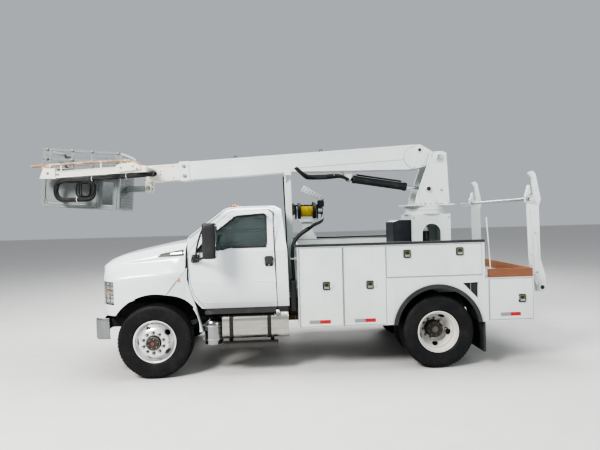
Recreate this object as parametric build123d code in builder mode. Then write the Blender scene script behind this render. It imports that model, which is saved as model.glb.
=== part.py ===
from build123d import *
from math import atan2, cos, hypot, radians, sin, tan
import os

os.makedirs("parts", exist_ok=True)

# A two-axle bucket truck that works on overhead lines, in millimetres.
# +X runs to the rear, +Y to the truck's right and +Z up, with the ground at z = 0.
# Places along the truck are measured back from the front axle.

# Driving dimensions
wheelbase = 4013
tyre_radius = 520
tyre_width = 279
arm_rod_reach = 1953            # tip of the side arm's rod, ahead of the front axle
body_rear = wheelbase + 1406
reel_hinge_x = body_rear + 245
reel_eye_radius = 70
front_axle_x = -(reel_hinge_x + reel_eye_radius - arm_rod_reach) / 2

running_gap = 0.3               # between curved faces that turn in each other
panel_gap = 6                   # between a door or lid and the panel round it


def side(y):
    """Plane seen from the truck's left: back from the front axle, and up."""
    return Plane(origin=(front_axle_x, y, 0), x_dir=(1, 0, 0), z_dir=(0, -1, 0))


def plan(z):
    """Plane seen from above: back from the front axle, and to the right."""
    return Plane(origin=(front_axle_x, 0, z), x_dir=(1, 0, 0), z_dir=(0, 0, 1))


def section(x):
    """Plane across the truck: to the right, and up."""
    return Plane(origin=(front_axle_x + x, 0, 0), x_dir=(0, 1, 0), z_dir=(1, 0, 0))


def block(x, y, z, mode=Mode.ADD):
    """Box between the (low, high) pairs x, y and z."""
    centre = (front_axle_x + sum(x) / 2, sum(y) / 2, sum(z) / 2)
    with Locations(centre):
        Box(x[1] - x[0], y[1] - y[0], z[1] - z[0], mode=mode)


def side_panel(points, y, mode=Mode.ADD):
    """Flat outline in side view, as thick as the (low, high) pair y."""
    with BuildSketch(side(y[1])) as outline:
        with BuildLine():
            Polyline(*points, close=True)
        make_face()
    extrude(outline.sketch, amount=y[1] - y[0], mode=mode)


def cross_rod(x, y, z, radius, mode=Mode.ADD):
    """Round bar across the truck between the (low, high) pair y."""
    with BuildSketch(side(y[1])) as outline:
        with Locations((x, z)):
            Circle(radius)
    extrude(outline.sketch, amount=y[1] - y[0], mode=mode)


def bar(start, end, radius, mode=Mode.ADD):
    """Round bar from start to end, as x back from the front axle, y and z."""
    a = Vector(front_axle_x + start[0], start[1], start[2])
    b = Vector(front_axle_x + end[0], end[1], end[2])
    with BuildSketch(Plane(origin=a, z_dir=b - a)) as outline:
        Circle(radius)
    extrude(outline.sketch, amount=(b - a).length, mode=mode)


# Chassis frame: two channels and the cross-members between their webs
rail_front = -760
rail_rear = body_rear - 19
rail_half = 435                 # outer face of each web
rail_web = 9
rail_flange = 82
rail_flange_thick = 11
rail_bottom = 700
rail_top = 950
cross_member_x = (-600, 1100, 2050, wheelbase - 713, wheelbase + 687, rail_rear - 60)
cross_member_long = 70
cross_member_tall = 150


# Hinge low in the nose that lets the hood and both front wings tip forward
hood_hinge_x = -700
hood_hinge_z = 760
hood_pin_radius = 12
hood_ear_y = 284
hood_ear_thick = 16

# Plate across the rails' rear ends, drilled for a pintle hook
hitch_plate_thick = 19
hitch_plate_half = 435
hitch_plate_z = (610, 940)
hitch_spacing = (160, 120)
hitch_hole_radius = 10.5

with BuildPart() as frame_rails:
    for way in (-1, 1):
        web = sorted((way * rail_half, way * (rail_half - rail_web)))
        flange = sorted((way * rail_half, way * (rail_half - rail_flange)))
        block((rail_front, rail_rear), web, (rail_bottom, rail_top))
        block((rail_front, rail_rear), flange, (rail_bottom, rail_bottom + rail_flange_thick))
        block((rail_front, rail_rear), flange, (rail_top - rail_flange_thick, rail_top))
    for x in cross_member_x:
        block((x - cross_member_long / 2, x + cross_member_long / 2),
              (rail_web - rail_half, rail_half - rail_web),
              (rail_bottom + rail_flange_thick, rail_bottom + cross_member_tall))
    for way in (-1, 1):
        ear = sorted((way * hood_ear_y, way * (hood_ear_y + hood_ear_thick)))
        block((hood_hinge_x - 30, cross_member_x[0] - cross_member_long / 2), ear,
              (hood_hinge_z - 30, hood_hinge_z + 30))
        cross_rod(hood_hinge_x, ear, hood_hinge_z, hood_pin_radius + running_gap, mode=Mode.SUBTRACT)
    block((rail_rear, rail_rear + hitch_plate_thick), (-hitch_plate_half, hitch_plate_half), hitch_plate_z)
    with BuildSketch(section(rail_rear)) as hitch_holes:
        with Locations((0, sum(hitch_plate_z) / 2)):
            with GridLocations(*hitch_spacing, 2, 2):
                Circle(hitch_hole_radius)
    extrude(hitch_holes.sketch, amount=hitch_plate_thick, mode=Mode.SUBTRACT)
frame_rails.part.label = "frame_rails"
export_step(frame_rails.part, "parts/frame_rails.step")

# Leaf springs, shared by both axles
spring_wide = 76
spring_y = rail_half - rail_flange / 2
spring_end_drop = 45
spring_seat_half = 60


def leaf_springs(axle_x, reach, seat_top, pack):
    """Curved packs on both sides, hung from the rails at their ends."""
    eye_z = rail_bottom - spring_end_drop
    for y in (-spring_y, spring_y):
        with BuildSketch(side(y + spring_wide / 2)) as leaves:
            with BuildLine():
                over = ThreePointArc((axle_x - reach, eye_z), (axle_x, seat_top + pack),
                                     (axle_x + reach, eye_z))
                under = ThreePointArc((axle_x - reach, eye_z - pack * 0.5), (axle_x, seat_top),
                                      (axle_x + reach, eye_z - pack * 0.5))
                Line(over @ 0, under @ 0)
                Line(over @ 1, under @ 1)
            make_face()
        extrude(leaves.sketch, amount=spring_wide)
        block((axle_x - spring_seat_half, axle_x + spring_seat_half),
              (y - spring_wide / 2 - 8, y + spring_wide / 2 + 8),
              (seat_top - 14, seat_top + pack * 0.6))
        for x in (axle_x - reach, axle_x + reach):
            block((x - 40, x + 40), (y - spring_wide / 2, y + spring_wide / 2),
                  (eye_z - pack * 0.8, rail_bottom))


# Front axle: dropped beam with bored bosses for the kingpins
kingpin_y = 850
kingpin_radius = 18
axle_beam_half = 42
axle_boss_radius = 36
axle_end_z = (485, 557)
axle_drop_z = (375, 455)
axle_neck_y = kingpin_y - axle_boss_radius + 12
front_spring_reach = 640
front_spring_pack = 55

with BuildPart() as front_axle:
    with BuildSketch(section(-axle_beam_half)) as beam:
        with BuildLine():
            Polyline((-axle_neck_y, axle_end_z[0]), (-700, axle_end_z[0]), (-600, axle_drop_z[0]),
                     (600, axle_drop_z[0]), (700, axle_end_z[0]), (axle_neck_y, axle_end_z[0]),
                     (axle_neck_y, axle_end_z[1]), (690, axle_end_z[1]), (560, axle_drop_z[1]),
                     (-560, axle_drop_z[1]), (-690, axle_end_z[1]), (-axle_neck_y, axle_end_z[1]),
                     close=True)
        make_face()
    extrude(beam.sketch, amount=2 * axle_beam_half)
    with BuildSketch(plan(axle_end_z[0])) as bosses:
        with Locations((0, -kingpin_y), (0, kingpin_y)):
            Circle(axle_boss_radius)
    extrude(bosses.sketch, amount=axle_end_z[1] - axle_end_z[0])
    with BuildSketch(plan(axle_end_z[0])) as bores:
        with Locations((0, -kingpin_y), (0, kingpin_y)):
            Circle(kingpin_radius + running_gap)
    extrude(bores.sketch, amount=axle_end_z[1] - axle_end_z[0], mode=Mode.SUBTRACT)
    leaf_springs(0, front_spring_reach, axle_drop_z[1], front_spring_pack)
front_axle.part.label = "front_axle"
export_step(front_axle.part, "parts/front_axle.step")

# Rear axle: tubes with a round differential housing, springs and propeller shaft
axle_tube_radius = 70
spindle_radius = 48
rear_hub_inner_y = 560
rear_spindle_end_y = 1010
diff_radius = 215
diff_half = 150
nose_reach = 330
rear_spring_reach = 640
rear_spring_pack = 95
shaft_radius = 46
shaft_front = (1054, 640)       # behind the gearbox, ahead of the carrier bearing
carrier_half = 45

with BuildPart() as rear_axle:
    cross_rod(wheelbase, (-rear_hub_inner_y, rear_hub_inner_y), tyre_radius, axle_tube_radius)
    cross_rod(wheelbase, (-rear_spindle_end_y, rear_spindle_end_y), tyre_radius, spindle_radius)
    with BuildSketch(side(0)) as housing:
        with Locations((wheelbase, tyre_radius)):
            Circle(diff_radius)
    extrude(housing.sketch, amount=diff_half * 0.6, both=True, taper=20)
    bar((wheelbase - nose_reach, 0, tyre_radius + 30), (wheelbase, 0, tyre_radius), 95)
    bar((shaft_front[0], 0, shaft_front[1]), (wheelbase - nose_reach + 10, 0, tyre_radius + 30), shaft_radius)
    block((cross_member_x[1] - 25, cross_member_x[1] + 25), (-carrier_half, carrier_half),
          (shaft_front[1] - 55, rail_bottom + rail_flange_thick))
    leaf_springs(wheelbase, rear_spring_reach, tyre_radius + axle_tube_radius - 12, rear_spring_pack)
rear_axle.part.label = "rear_axle"
export_step(rear_axle.part, "parts/rear_axle.step")

# Steering knuckles: yoke over the axle's boss, kingpin, spindle and steering arm
knuckle_lug_thick = 38
knuckle_lug_gap = 2
knuckle_half = 42
knuckle_web = (44, 92)          # outboard of the kingpin
front_spindle_end = 1150

for name, way in (("knuckle_left", -1), ("knuckle_right", 1)):
    with BuildPart() as knuckle:
        lug_low = (axle_end_z[0] - knuckle_lug_gap - knuckle_lug_thick, axle_end_z[0] - knuckle_lug_gap)
        lug_high = (axle_end_z[1] + knuckle_lug_gap, axle_end_z[1] + knuckle_lug_gap + knuckle_lug_thick)
        web = sorted((way * (kingpin_y + knuckle_web[0]), way * (kingpin_y + knuckle_web[1])))
        reach = sorted((way * (kingpin_y - 10), way * (kingpin_y + knuckle_web[1])))
        for z in (lug_low, lug_high):
            block((-knuckle_half, knuckle_half), reach, z)
        block((-knuckle_half, knuckle_half), web, (lug_low[0], lug_high[1]))
        with BuildSketch(plan(lug_low[0])) as kingpin:
            with Locations((0, way * kingpin_y)):
                Circle(kingpin_radius)
        extrude(kingpin.sketch, amount=lug_high[1] - lug_low[0])
        spindle = sorted((way * (kingpin_y + knuckle_web[1] - 5), way * front_spindle_end))
        cross_rod(0, spindle, tyre_radius, spindle_radius)
        arm = sorted((way * (kingpin_y - 40), way * (kingpin_y + 30)))
        block((knuckle_half - 5, 190), arm, lug_low)
    knuckle.part.label = name
    export_step(knuckle.part, f"parts/{name}.step")

# Wheels: one rim form turns its dished face outward in front and to the axle behind
rim_radius = 298
rim_wide = 230
disc_face = 56                  # mounting face, outside the rim's near flange
disc_thick = 22
rim_front_flange_y = 1168       # outer flange of a front rim
dual_middle_y = 920             # mounting faces of each rear pair meet here
hand_hole_count = 5
hand_hole_at = 221
hand_hole = (92, 48)
hand_hole_turn = {"front": 36, "rear": 58}
hub_radius = 92
hub_bore_gap = running_gap
stud_circle = 285.75
stud_count = 10
stud_radius = 17
stud_tall = 34
stud_turn = {"front": 18, "rear": 7}

# each row is the radius and the distance inward from the rim's near flange
rim_rows = ((298, 0), (298, 12), (286, 17), (283, 48), (262, 74), (262, 154), (283, 180),
            (286, 213), (298, 218), (298, 230), (286, 230), (274, 188), (251, 160), (251, 70),
            (272, 42), (276, 6), (288, 0))
disc_rows = ((110, disc_thick - disc_face), (110, -disc_face), (180, -disc_face), (206, -42),
             (226, -8), (253, 72), (253, 102), (236, 88), (206, 2), (178, disc_thick - disc_face))


def wheel_plane(axle_x, flange_y, way):
    """Radius along the plane's x, distance inward from the flange along its y."""
    return Plane(origin=(front_axle_x + axle_x, flange_y, tyre_radius),
                 x_dir=(1, 0, 0), z_dir=(0, 0, way))


def spun(rows, axle_x, flange_y, way, mode=Mode.ADD):
    """Rows of (radius, inward) turned about the wheel's axis."""
    with BuildSketch(wheel_plane(axle_x, flange_y, way)) as half:
        with BuildLine():
            Polyline(*rows, close=True)
        make_face()
    axis = Axis((front_axle_x + axle_x, 0, tyre_radius), (0, 1, 0))
    revolve(half.sketch, axis=axis, mode=mode)


def rim(axle_x, flange_y, way, turn):
    """Rim and dished disc with its hand holes; way is +1 where inward is +Y."""
    spun(rim_rows, axle_x, flange_y, way)
    spun(disc_rows, axle_x, flange_y, way)
    with BuildSketch(side(flange_y)) as holes:
        with Locations((axle_x, tyre_radius)):
            with PolarLocations(hand_hole_at, hand_hole_count, start_angle=turn):
                Ellipse(hand_hole[1] / 2, hand_hole[0] / 2)
    extrude(holes.sketch, amount=disc_face * 2, both=True, mode=Mode.SUBTRACT)


def tyre(axle_x, middle_y):
    """Tyre with rounded shoulders and open beads."""
    half = tyre_width / 2
    bead = rim_rows[2][0] + running_gap
    with BuildSketch(Plane(origin=(front_axle_x + axle_x, middle_y, tyre_radius),
                           x_dir=(1, 0, 0), z_dir=(0, 0, -1))) as wall:
        with BuildLine():
            Polyline((bead, -92), (bead + 14, -99), (bead + 24, -112), (395, -half), (462, -half + 4),
                     (tyre_radius - 14, -112), (tyre_radius - 2, -92), (tyre_radius, 0),
                     (tyre_radius - 2, 92), (tyre_radius - 14, 112), (462, half - 4), (395, half),
                     (bead + 24, 112), (bead + 14, 99), (bead, 92), (bead + 10, 74), (bead + 60, 112),
                     (455, 120), (tyre_radius - 32, 96), (tyre_radius - 32, -96), (455, -120),
                     (bead + 60, -112), (bead + 10, -74), close=True)
        make_face()
    axis = Axis((front_axle_x + axle_x, 0, tyre_radius), (0, 1, 0))
    revolve(wall.sketch, axis=axis)


front_flange_y = rim_front_flange_y
rear_flange_y = {"outer": dual_middle_y + disc_face, "inner": dual_middle_y - disc_face}
front_hub_inner_y = kingpin_y + knuckle_web[1] + 12
hub_cap_radius = 62
front_hub_cap_y = 1262
rear_hub_cap_y = 1052
rear_hub_radius = 118
drum_radius = 205
drum_gap = 12

for name, way in (("left", -1), ("right", 1)):
    with BuildPart() as front_rim:
        rim(0, way * front_flange_y, -way, hand_hole_turn["front"])
        hub_y = sorted((way * front_hub_inner_y, way * (front_flange_y + disc_face - disc_thick)))
        cross_rod(0, hub_y, tyre_radius, 130)
        cap_y = sorted((way * (front_flange_y + disc_face - disc_thick), way * front_hub_cap_y))
        cross_rod(0, cap_y, tyre_radius, hub_radius)
        bore_y = sorted((way * (front_hub_inner_y - 1), way * (front_spindle_end + 3)))
        cross_rod(0, bore_y, tyre_radius, spindle_radius + hub_bore_gap, mode=Mode.SUBTRACT)
        with BuildSketch(side(way * (front_flange_y + disc_face))) as studs:
            with Locations((0, tyre_radius)):
                with PolarLocations(stud_circle / 2, stud_count, start_angle=stud_turn["front"]):
                    RegularPolygon(stud_radius, 6)
        extrude(studs.sketch, amount=-way * stud_tall)
    front_rim.part.label = f"front_rim_{name}"
    export_step(front_rim.part, f"parts/front_rim_{name}.step")

    with BuildPart() as front_tyre:
        tyre(0, way * (front_flange_y - rim_wide / 2))
    front_tyre.part.label = f"front_tyre_{name}"
    export_step(front_tyre.part, f"parts/front_tyre_{name}.step")

    with BuildPart() as rear_rims:
        rim(wheelbase, way * rear_flange_y["outer"], way, hand_hole_turn["rear"])
        rim(wheelbase, way * rear_flange_y["inner"], -way, hand_hole_turn["rear"])
        hub_y = sorted((way * (rear_hub_inner_y + drum_gap), way * dual_middle_y))
        cross_rod(wheelbase, hub_y, tyre_radius, 130)
        drum_y = sorted((way * (rear_hub_inner_y + drum_gap), way * (dual_middle_y - 120)))
        cross_rod(wheelbase, drum_y, tyre_radius, drum_radius)
        cap_y = sorted((way * dual_middle_y, way * rear_hub_cap_y))
        cross_rod(wheelbase, cap_y, tyre_radius, rear_hub_radius)
        bore_y = sorted((way * (rear_hub_inner_y + drum_gap - 1), way * (rear_spindle_end_y + 3)))
        cross_rod(wheelbase, bore_y, tyre_radius, spindle_radius + hub_bore_gap, mode=Mode.SUBTRACT)
        with BuildSketch(side(way * (dual_middle_y + disc_thick))) as studs:
            with Locations((wheelbase, tyre_radius)):
                with PolarLocations(stud_circle / 2, stud_count, start_angle=stud_turn["rear"]):
                    RegularPolygon(stud_radius, 6)
        extrude(studs.sketch, amount=-way * stud_tall)
    rear_rims.part.label = f"rear_rims_{name}"
    export_step(rear_rims.part, f"parts/rear_rims_{name}.step")

    with BuildPart() as rear_tyres:
        tyre(wheelbase, way * (rear_flange_y["outer"] + rim_wide / 2))
        tyre(wheelbase, way * (rear_flange_y["inner"] - rim_wide / 2))
    rear_tyres.part.label = f"rear_tyres_{name}"
    export_step(rear_tyres.part, f"parts/rear_tyres_{name}.step")


# Front bumper: bowed bar with raised, wrapped ends, on two brackets from the rails
bumper_bottom = 564
bumper_top = 740
bumper_end_top = 858
bumper_end_from = 1000
bumper_rows = ((-900, 0), (-893, 600), (-861, 1000), (-800, 1072), (-640, 1092),
               (-640, 1062), (-778, 1042), (-826, 976), (-858, 590), (-866, 0))

with BuildPart() as bumper:
    right = [(x, y) for x, y in bumper_rows]
    left = [(x, -y) for x, y in reversed(bumper_rows[1:-1])]
    with BuildSketch(plan(bumper_bottom)) as outline:
        with BuildLine():
            Polyline(*right, *left, close=True)
        make_face()
    extrude(outline.sketch, amount=bumper_end_top - bumper_bottom)
    block((-1000, -600), (-bumper_end_from, bumper_end_from), (bumper_top, bumper_end_top),
          mode=Mode.SUBTRACT)
    for way in (-1, 1):
        bracket = sorted((way * rail_half, way * (rail_half + 15)))
        block((-862, -600), bracket, (bumper_bottom + 26, bumper_top - 5))
bumper.part.label = "bumper"
export_step(bumper.part, "parts/bumper.step")

# Headlamps: lenses set in the nose's corners, upright and wrapped round the wing
lamp_z = (1050, 1364)
lamp_rows = ((-806, 640), (-806, 800), (-700, 985), (-560, 1100), (-560, 1070), (-680, 940),
             (-776, 780), (-776, 640))

with BuildPart() as headlamps:
    for way in (-1, 1):
        with BuildSketch(plan(lamp_z[0])) as lens:
            with BuildLine():
                Polyline(*[(x, way * y) for x, y in lamp_rows], close=True)
            make_face()
        extrude(lens.sketch, amount=lamp_z[1] - lamp_z[0])
headlamps.part.label = "headlamps"
export_step(headlamps.part, "parts/headlamps.step")

# Hood and front wings: one hollow moulding through a few sections.
# Columns: station, crown height, then half width and height at the shoulder,
# the waist beside it, the wing's crest and the wing's outer face.
hood_wall = 16
hood_floor = 700
hood_rear = 420
hood_rows = (
    (-800, 1622, 600, 1598, 780, 1550, 800, 1420, 812, 1300),
    (-740, 1668, 680, 1640, 850, 1560, 930, 1420, 965, 1320),
    (-560, 1735, 760, 1700, 880, 1580, 1075, 1446, 1132, 1340),
    (-200, 1812, 810, 1775, 930, 1600, 1108, 1478, 1156, 1385),
    (170, 1880, 832, 1842, 965, 1640, 1102, 1492, 1150, 1400),
    (hood_rear, 1910, 842, 1868, 985, 1700, 1028, 1500, 1045, 1350),
)
arch_centre = (10, 520)
arch_radius = 662
arch_from_y = 880
wing_bottom = 895
wing_seam = ((446, 1539), (165, 1164))
nose_bottom = 860
grille_half = 610
grille_z = (880, 1530)


def hood_form(inset, floor, rear):
    """The moulding's outer form, or its hollow when drawn in by inset."""
    with BuildPart() as form:
        faces = []
        for row in hood_rows:
            station, crown, ys, zs, yw, zw, yc, zc, yo, zo = row
            if station == hood_rows[0][0]:
                station += inset
            if station == hood_rear:
                station = rear
            half = [(ys - inset, zs - inset), (yw - inset, zw - inset), (yc - inset, zc - inset),
                    (yo - inset, zo - inset), (yo - inset, floor)]
            mirrored = [(-y, z) for y, z in reversed(half)]
            with BuildSketch(section(station)) as outline:
                with BuildLine():
                    Polyline((0, crown - inset), *half, *mirrored, close=True)
                make_face()
            faces.append(outline.sketch)
        loft(faces, ruled=True)
    return form.part


hood_outer = hood_form(0, hood_floor, hood_rear)
hood_inner = hood_form(hood_wall, hood_floor - 10, hood_rear + 10)

with BuildPart() as hood:
    add(hood_outer)
    add(hood_inner, mode=Mode.SUBTRACT)
    block((-900, -560), (-1300, 1300), (0, nose_bottom), mode=Mode.SUBTRACT)
    block((-900, -700), (-grille_half, grille_half), grille_z, mode=Mode.SUBTRACT)
    add(headlamps.part, mode=Mode.SUBTRACT)
    for y in ((-1300, -arch_from_y), (arch_from_y, 1300)):
        cross_rod(arch_centre[0], y, arch_centre[1], arch_radius, mode=Mode.SUBTRACT)
        side_panel([(-900, 600), (-900, wing_bottom), (-530, wing_bottom), (-530, 600)], y,
                   mode=Mode.SUBTRACT)
    side_panel([(-560, 600), (-560, nose_bottom), (-500, 1100), (171, 1141), wing_seam[0],
                (900, 1539), (900, 600)], (-arch_from_y, arch_from_y), mode=Mode.SUBTRACT)
    for y in ((-1300, -arch_from_y), (arch_from_y, 1300)):
        side_panel([wing_seam[0], wing_seam[1], (60, 900), (60, 600), (900, 600), (900, 1539)], y,
                   mode=Mode.SUBTRACT)
    block((-800 + hood_wall, -770), (-780, 780), (nose_bottom, grille_z[0]))
    for way in (-1, 1):
        arm = sorted((way * (hood_ear_y - 32), way * (hood_ear_y - 2)))
        side_panel([(-790, nose_bottom), (-790, nose_bottom + 10), (-745, nose_bottom + 10),
                    (hood_hinge_x + 26, hood_hinge_z + 10), (hood_hinge_x + 26, hood_hinge_z - 26),
                    (hood_hinge_x - 26, hood_hinge_z - 26)], arm)
        pin = sorted((way * (hood_ear_y - 32), way * (hood_ear_y + hood_ear_thick + 8)))
        cross_rod(hood_hinge_x, pin, hood_hinge_z, hood_pin_radius)
hood.part.label = "hood"
export_step(hood.part, "parts/hood.step")

# Grille: frame with level bars and uprights, set in the hood's nose
grille_face_x = -814
grille_deep = 30
grille_border = 46
grille_bar_count = 4
grille_bar_tall = 42
grille_upright_count = 9
grille_upright_wide = 12

with BuildPart() as grille:
    block((grille_face_x, grille_face_x + grille_deep), (-grille_half, grille_half), grille_z)
    block((grille_face_x, grille_face_x + grille_deep),
          (-grille_half + grille_border, grille_half - grille_border),
          (grille_z[0] + grille_border, grille_z[1] - grille_border), mode=Mode.SUBTRACT)
    bar_pitch = (grille_z[1] - grille_z[0]) / (grille_bar_count + 1)
    for row in range(1, grille_bar_count + 1):
        z = grille_z[0] + row * bar_pitch
        block((grille_face_x, grille_face_x + grille_deep), (-grille_half + 10, grille_half - 10),
              (z - grille_bar_tall / 2, z + grille_bar_tall / 2))
    upright_pitch = 2 * grille_half / (grille_upright_count + 1)
    for column in range(1, grille_upright_count + 1):
        y = column * upright_pitch - grille_half
        block((grille_face_x + 12, grille_face_x + grille_deep),
              (y - grille_upright_wide / 2, y + grille_upright_wide / 2),
              (grille_z[0] + 10, grille_z[1] - 10))
grille.part.label = "grille"
export_step(grille.part, "parts/grille.step")

# Engine and gearbox: one plain block on its mounts
engine_x = (-440, 420)
engine_half = 320
engine_z = (660, 1420)
gearbox_half = 200
gearbox_z = (560, 860)

with BuildPart() as engine_block:
    block(engine_x, (-engine_half, engine_half), engine_z)
    block((engine_x[1], shaft_front[0] - 4), (-gearbox_half, gearbox_half), gearbox_z)
    for way in (-1, 1):
        mount = sorted((way * (engine_half - 5), way * (rail_half - rail_web)))
        block((0, 120), mount, (rail_top - 130, rail_top - 50))
engine_block.part.label = "engine_block"
export_step(engine_block.part, "parts/engine_block.step")

# Cab: a hollow shell cut by its two doors and its windows
cab_wall = 55
cab_half = 1016
cab_bottom = 925
cab_rows = ((640, 925), (470, 1120), (452, 1940), (965, 2345), (1037, 2378), (1367, 2412),
            (1698, 2400), (1812, 2338), (1884, 1739), (1898, 925))
cab_cross_rows = ((985, 925), (cab_half, 1280), (1008, 1740), (872, 2222), (730, 2386))
roof_corner = (828, 2338)
cab_crown = 2413


def cab_tunnel(inset):
    """Cab's cross-section drawn in by inset, past both its ends."""
    right = list(cab_cross_rows)
    left = [(-y, z) for y, z in reversed(right)]
    with BuildSketch(section(0)) as cross:
        with BuildLine():
            Polyline(*left[1:], *right[:-1])
            ThreePointArc(right[-2], roof_corner, right[-1])
            ThreePointArc(right[-1], (0, cab_crown), left[0])
            ThreePointArc(left[0], (-roof_corner[0], roof_corner[1]), left[1])
        make_face()
        if inset:
            offset(amount=-inset, kind=Kind.ARC)
    with BuildPart() as form:
        extrude(cross.sketch, amount=2500)
    return form.part


def cab_form(inset):
    """Cab's outer form, or its hollow when drawn in by inset."""
    with BuildSketch(side(cab_half)) as profile:
        with BuildLine():
            Polyline(*cab_rows, close=True)
        make_face()
        if inset:
            offset(amount=-inset, kind=Kind.INTERSECTION)
    with BuildPart() as form:
        extrude(profile.sketch, amount=2 * cab_half)
        add(cab_tunnel(inset), mode=Mode.INTERSECT)
    return form.part


cab_outer = cab_form(0)
cab_inner = cab_form(cab_wall)
cab_bore = cab_tunnel(cab_wall)
cab_skin = cab_form(18)
cab_skin_inner = cab_form(24)

door_rows = ((700, 925), (640, 1000), (545, 1117), (492, 1300), (472, 1493), (466, 1745),
             (628, 1945), (1010, 2272), (1090, 2318), (1640, 2335), (1700, 2290), (1726, 925))
# the leaf's rear top corner is cut back, because it swings past the pillar
door_leaf_rows = (*door_rows[:-3], (1612, 2334), (1678, 2284), (1722, 925))
sill_half = 925                 # below the doors the floor runs out to here
sill_top = 986
door_window_rows = ((560, 1735), (862, 1745), (1093, 1805), (1590, 1805), (1590, 2250),
                    (1560, 2275), (1150, 2250), (700, 1905))
windscreen_rows = ((900, 2010), (770, 2300))
rear_window_half = 620
rear_window_z = (1830, 2230)
cab_back_x = (1700, 1950)

# the wing's rear part stays on the cab when the hood tips
skirt_rows = ((172, 1160), (446, 1531), (440, 1357), (500, 1128), (545, 1000), (575, 925),
              (660, 616), (613, 616))
skirt_arch_middle = (462, 1030)
skirt_plan_rows = ((60, 1156), (170, 1150), (430, 1046), (530, 1022), (700, 1022), (700, 985),
                   (445, 985), (430, 1014), (165, 1122), (60, 1128))
skirt_tip_y = (1000, 1100)

# both doorways' cutter: the doors' outline with the seam round it, outside the cab's bore
with BuildPart() as doorways:
    with BuildSketch(side(1300)) as doorway:
        with BuildLine():
            Polyline(*door_rows, close=True)
        make_face()
        offset(amount=panel_gap, kind=Kind.INTERSECTION)
    extrude(doorway.sketch, amount=2600)
    add(cab_bore, mode=Mode.SUBTRACT)
    block((400, 1900), (-sill_half, sill_half), (900, sill_top), mode=Mode.SUBTRACT)

with BuildPart() as cab_shell:
    add(cab_outer)
    add(cab_inner, mode=Mode.SUBTRACT)
    with BuildSketch(section(300)) as front_opening:
        with BuildLine():
            Polyline((-windscreen_rows[0][0], windscreen_rows[0][1]), windscreen_rows[0],
                     windscreen_rows[1], (-windscreen_rows[1][0], windscreen_rows[1][1]), close=True)
        make_face()
    extrude(front_opening.sketch, amount=700, mode=Mode.SUBTRACT)
    block(cab_back_x, (-rear_window_half, rear_window_half), rear_window_z, mode=Mode.SUBTRACT)
    block((500, 1950), (-rail_half - 25, rail_half + 25), (cab_bottom - 5, rail_top),
          mode=Mode.SUBTRACT)
    add(doorways.part, mode=Mode.SUBTRACT)

with BuildPart() as skirts:
    for way in (-1, 1):
        with BuildSketch(plan(cab_bottom)) as flare:
            with BuildLine():
                Polyline(*[(x, way * y) for x, y in skirt_plan_rows], close=True)
            make_face()
        extrude(flare.sketch, amount=700)
        tip = sorted((way * skirt_tip_y[0], way * skirt_tip_y[1]))
        block((500, 700), tip, (600, cab_bottom + 30))
    with BuildSketch(side(1300)) as keep:
        with BuildLine():
            Polyline(*skirt_rows)
            ThreePointArc(skirt_rows[-1], skirt_arch_middle, skirt_rows[0])
        make_face()
    extrude(keep.sketch, amount=2600, mode=Mode.INTERSECT)

with BuildPart() as cab_body:
    add(cab_shell.part)
    add(skirts.part)
cab_body.part.label = "cab_shell"
export_step(cab_body.part, "parts/cab_shell.step")

# Cab doors: the whole thickness of the cab's wall, with the window cut through
door_hinge_x = 460
door_hinge_y = 1012
handle_x = (1560, 1680)
handle_z = (1560, 1600)

for name, way in (("left", -1), ("right", 1)):
    flank = sorted((way * 700, way * 1300))
    with BuildPart() as door:
        add(cab_outer)
        add(cab_bore, mode=Mode.SUBTRACT)
        with BuildSketch(side(flank[1])) as outline:
            with BuildLine():
                Polyline(*door_leaf_rows, close=True)
            make_face()
        extrude(outline.sketch, amount=600, mode=Mode.INTERSECT)
        block((400, 1900), (-sill_half - panel_gap, sill_half + panel_gap), (900, sill_top + panel_gap),
              mode=Mode.SUBTRACT)
        side_panel(list(door_window_rows), flank, mode=Mode.SUBTRACT)
        grip = sorted((way * (cab_half - 14), way * (cab_half + 26)))
        block(handle_x, grip, handle_z)
        foot = sorted((way * (cab_half - 10), way * (cab_half + 30)))
        block((520, 610), foot, (1610, 1700))
    door.part.label = f"cab_door_{name}"
    export_step(door.part, f"parts/cab_door_{name}.step")

    with BuildPart() as door_glass:
        add(cab_skin)
        add(cab_skin_inner, mode=Mode.SUBTRACT)
        with BuildSketch(side(flank[1])) as pane:
            with BuildLine():
                Polyline(*door_window_rows, close=True)
            make_face()
        extrude(pane.sketch, amount=600, mode=Mode.INTERSECT)
    door_glass.part.label = f"door_glass_{name}"
    export_step(door_glass.part, f"parts/door_glass_{name}.step")

    # mirror head on two arms from the door's front corner
    head_y = sorted((way * 1180, way * 1400))
    with BuildPart() as mirror:
        with BuildSketch(plan(1670)) as head:
            with Locations((820, way * 1290)):
                RectangleRounded(140, 220, 45)
        extrude(head.sketch, amount=490)
        plate = sorted((way * (cab_half + 30), way * (cab_half + 46)))
        block((520, 610), plate, (1610, 1700))
        bar((570, way * (cab_half + 44), 1640), (800, way * 1240, 1720), 14)
        bar((585, way * (cab_half + 44), 1680), (800, way * 1240, 2080), 14)
    mirror.part.label = f"mirror_{name}"
    export_step(mirror.part, f"parts/mirror_{name}.step")

# Windscreen and rear window in one node, as two panes
with BuildPart() as window_openings:
    with BuildSketch(section(300)) as front_pane:
        with BuildLine():
            Polyline((-windscreen_rows[0][0], windscreen_rows[0][1]), windscreen_rows[0],
                     windscreen_rows[1], (-windscreen_rows[1][0], windscreen_rows[1][1]),
                     close=True)
        make_face()
    extrude(front_pane.sketch, amount=700)
    block(cab_back_x, (-rear_window_half, rear_window_half), rear_window_z)

with BuildPart() as cab_glass:
    add(cab_skin)
    add(cab_skin_inner, mode=Mode.SUBTRACT)
    add(window_openings.part, mode=Mode.INTERSECT)
cab_glass.part.label = "cab_glass"
export_step(cab_glass.part, "parts/cab_glass.step")

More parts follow.
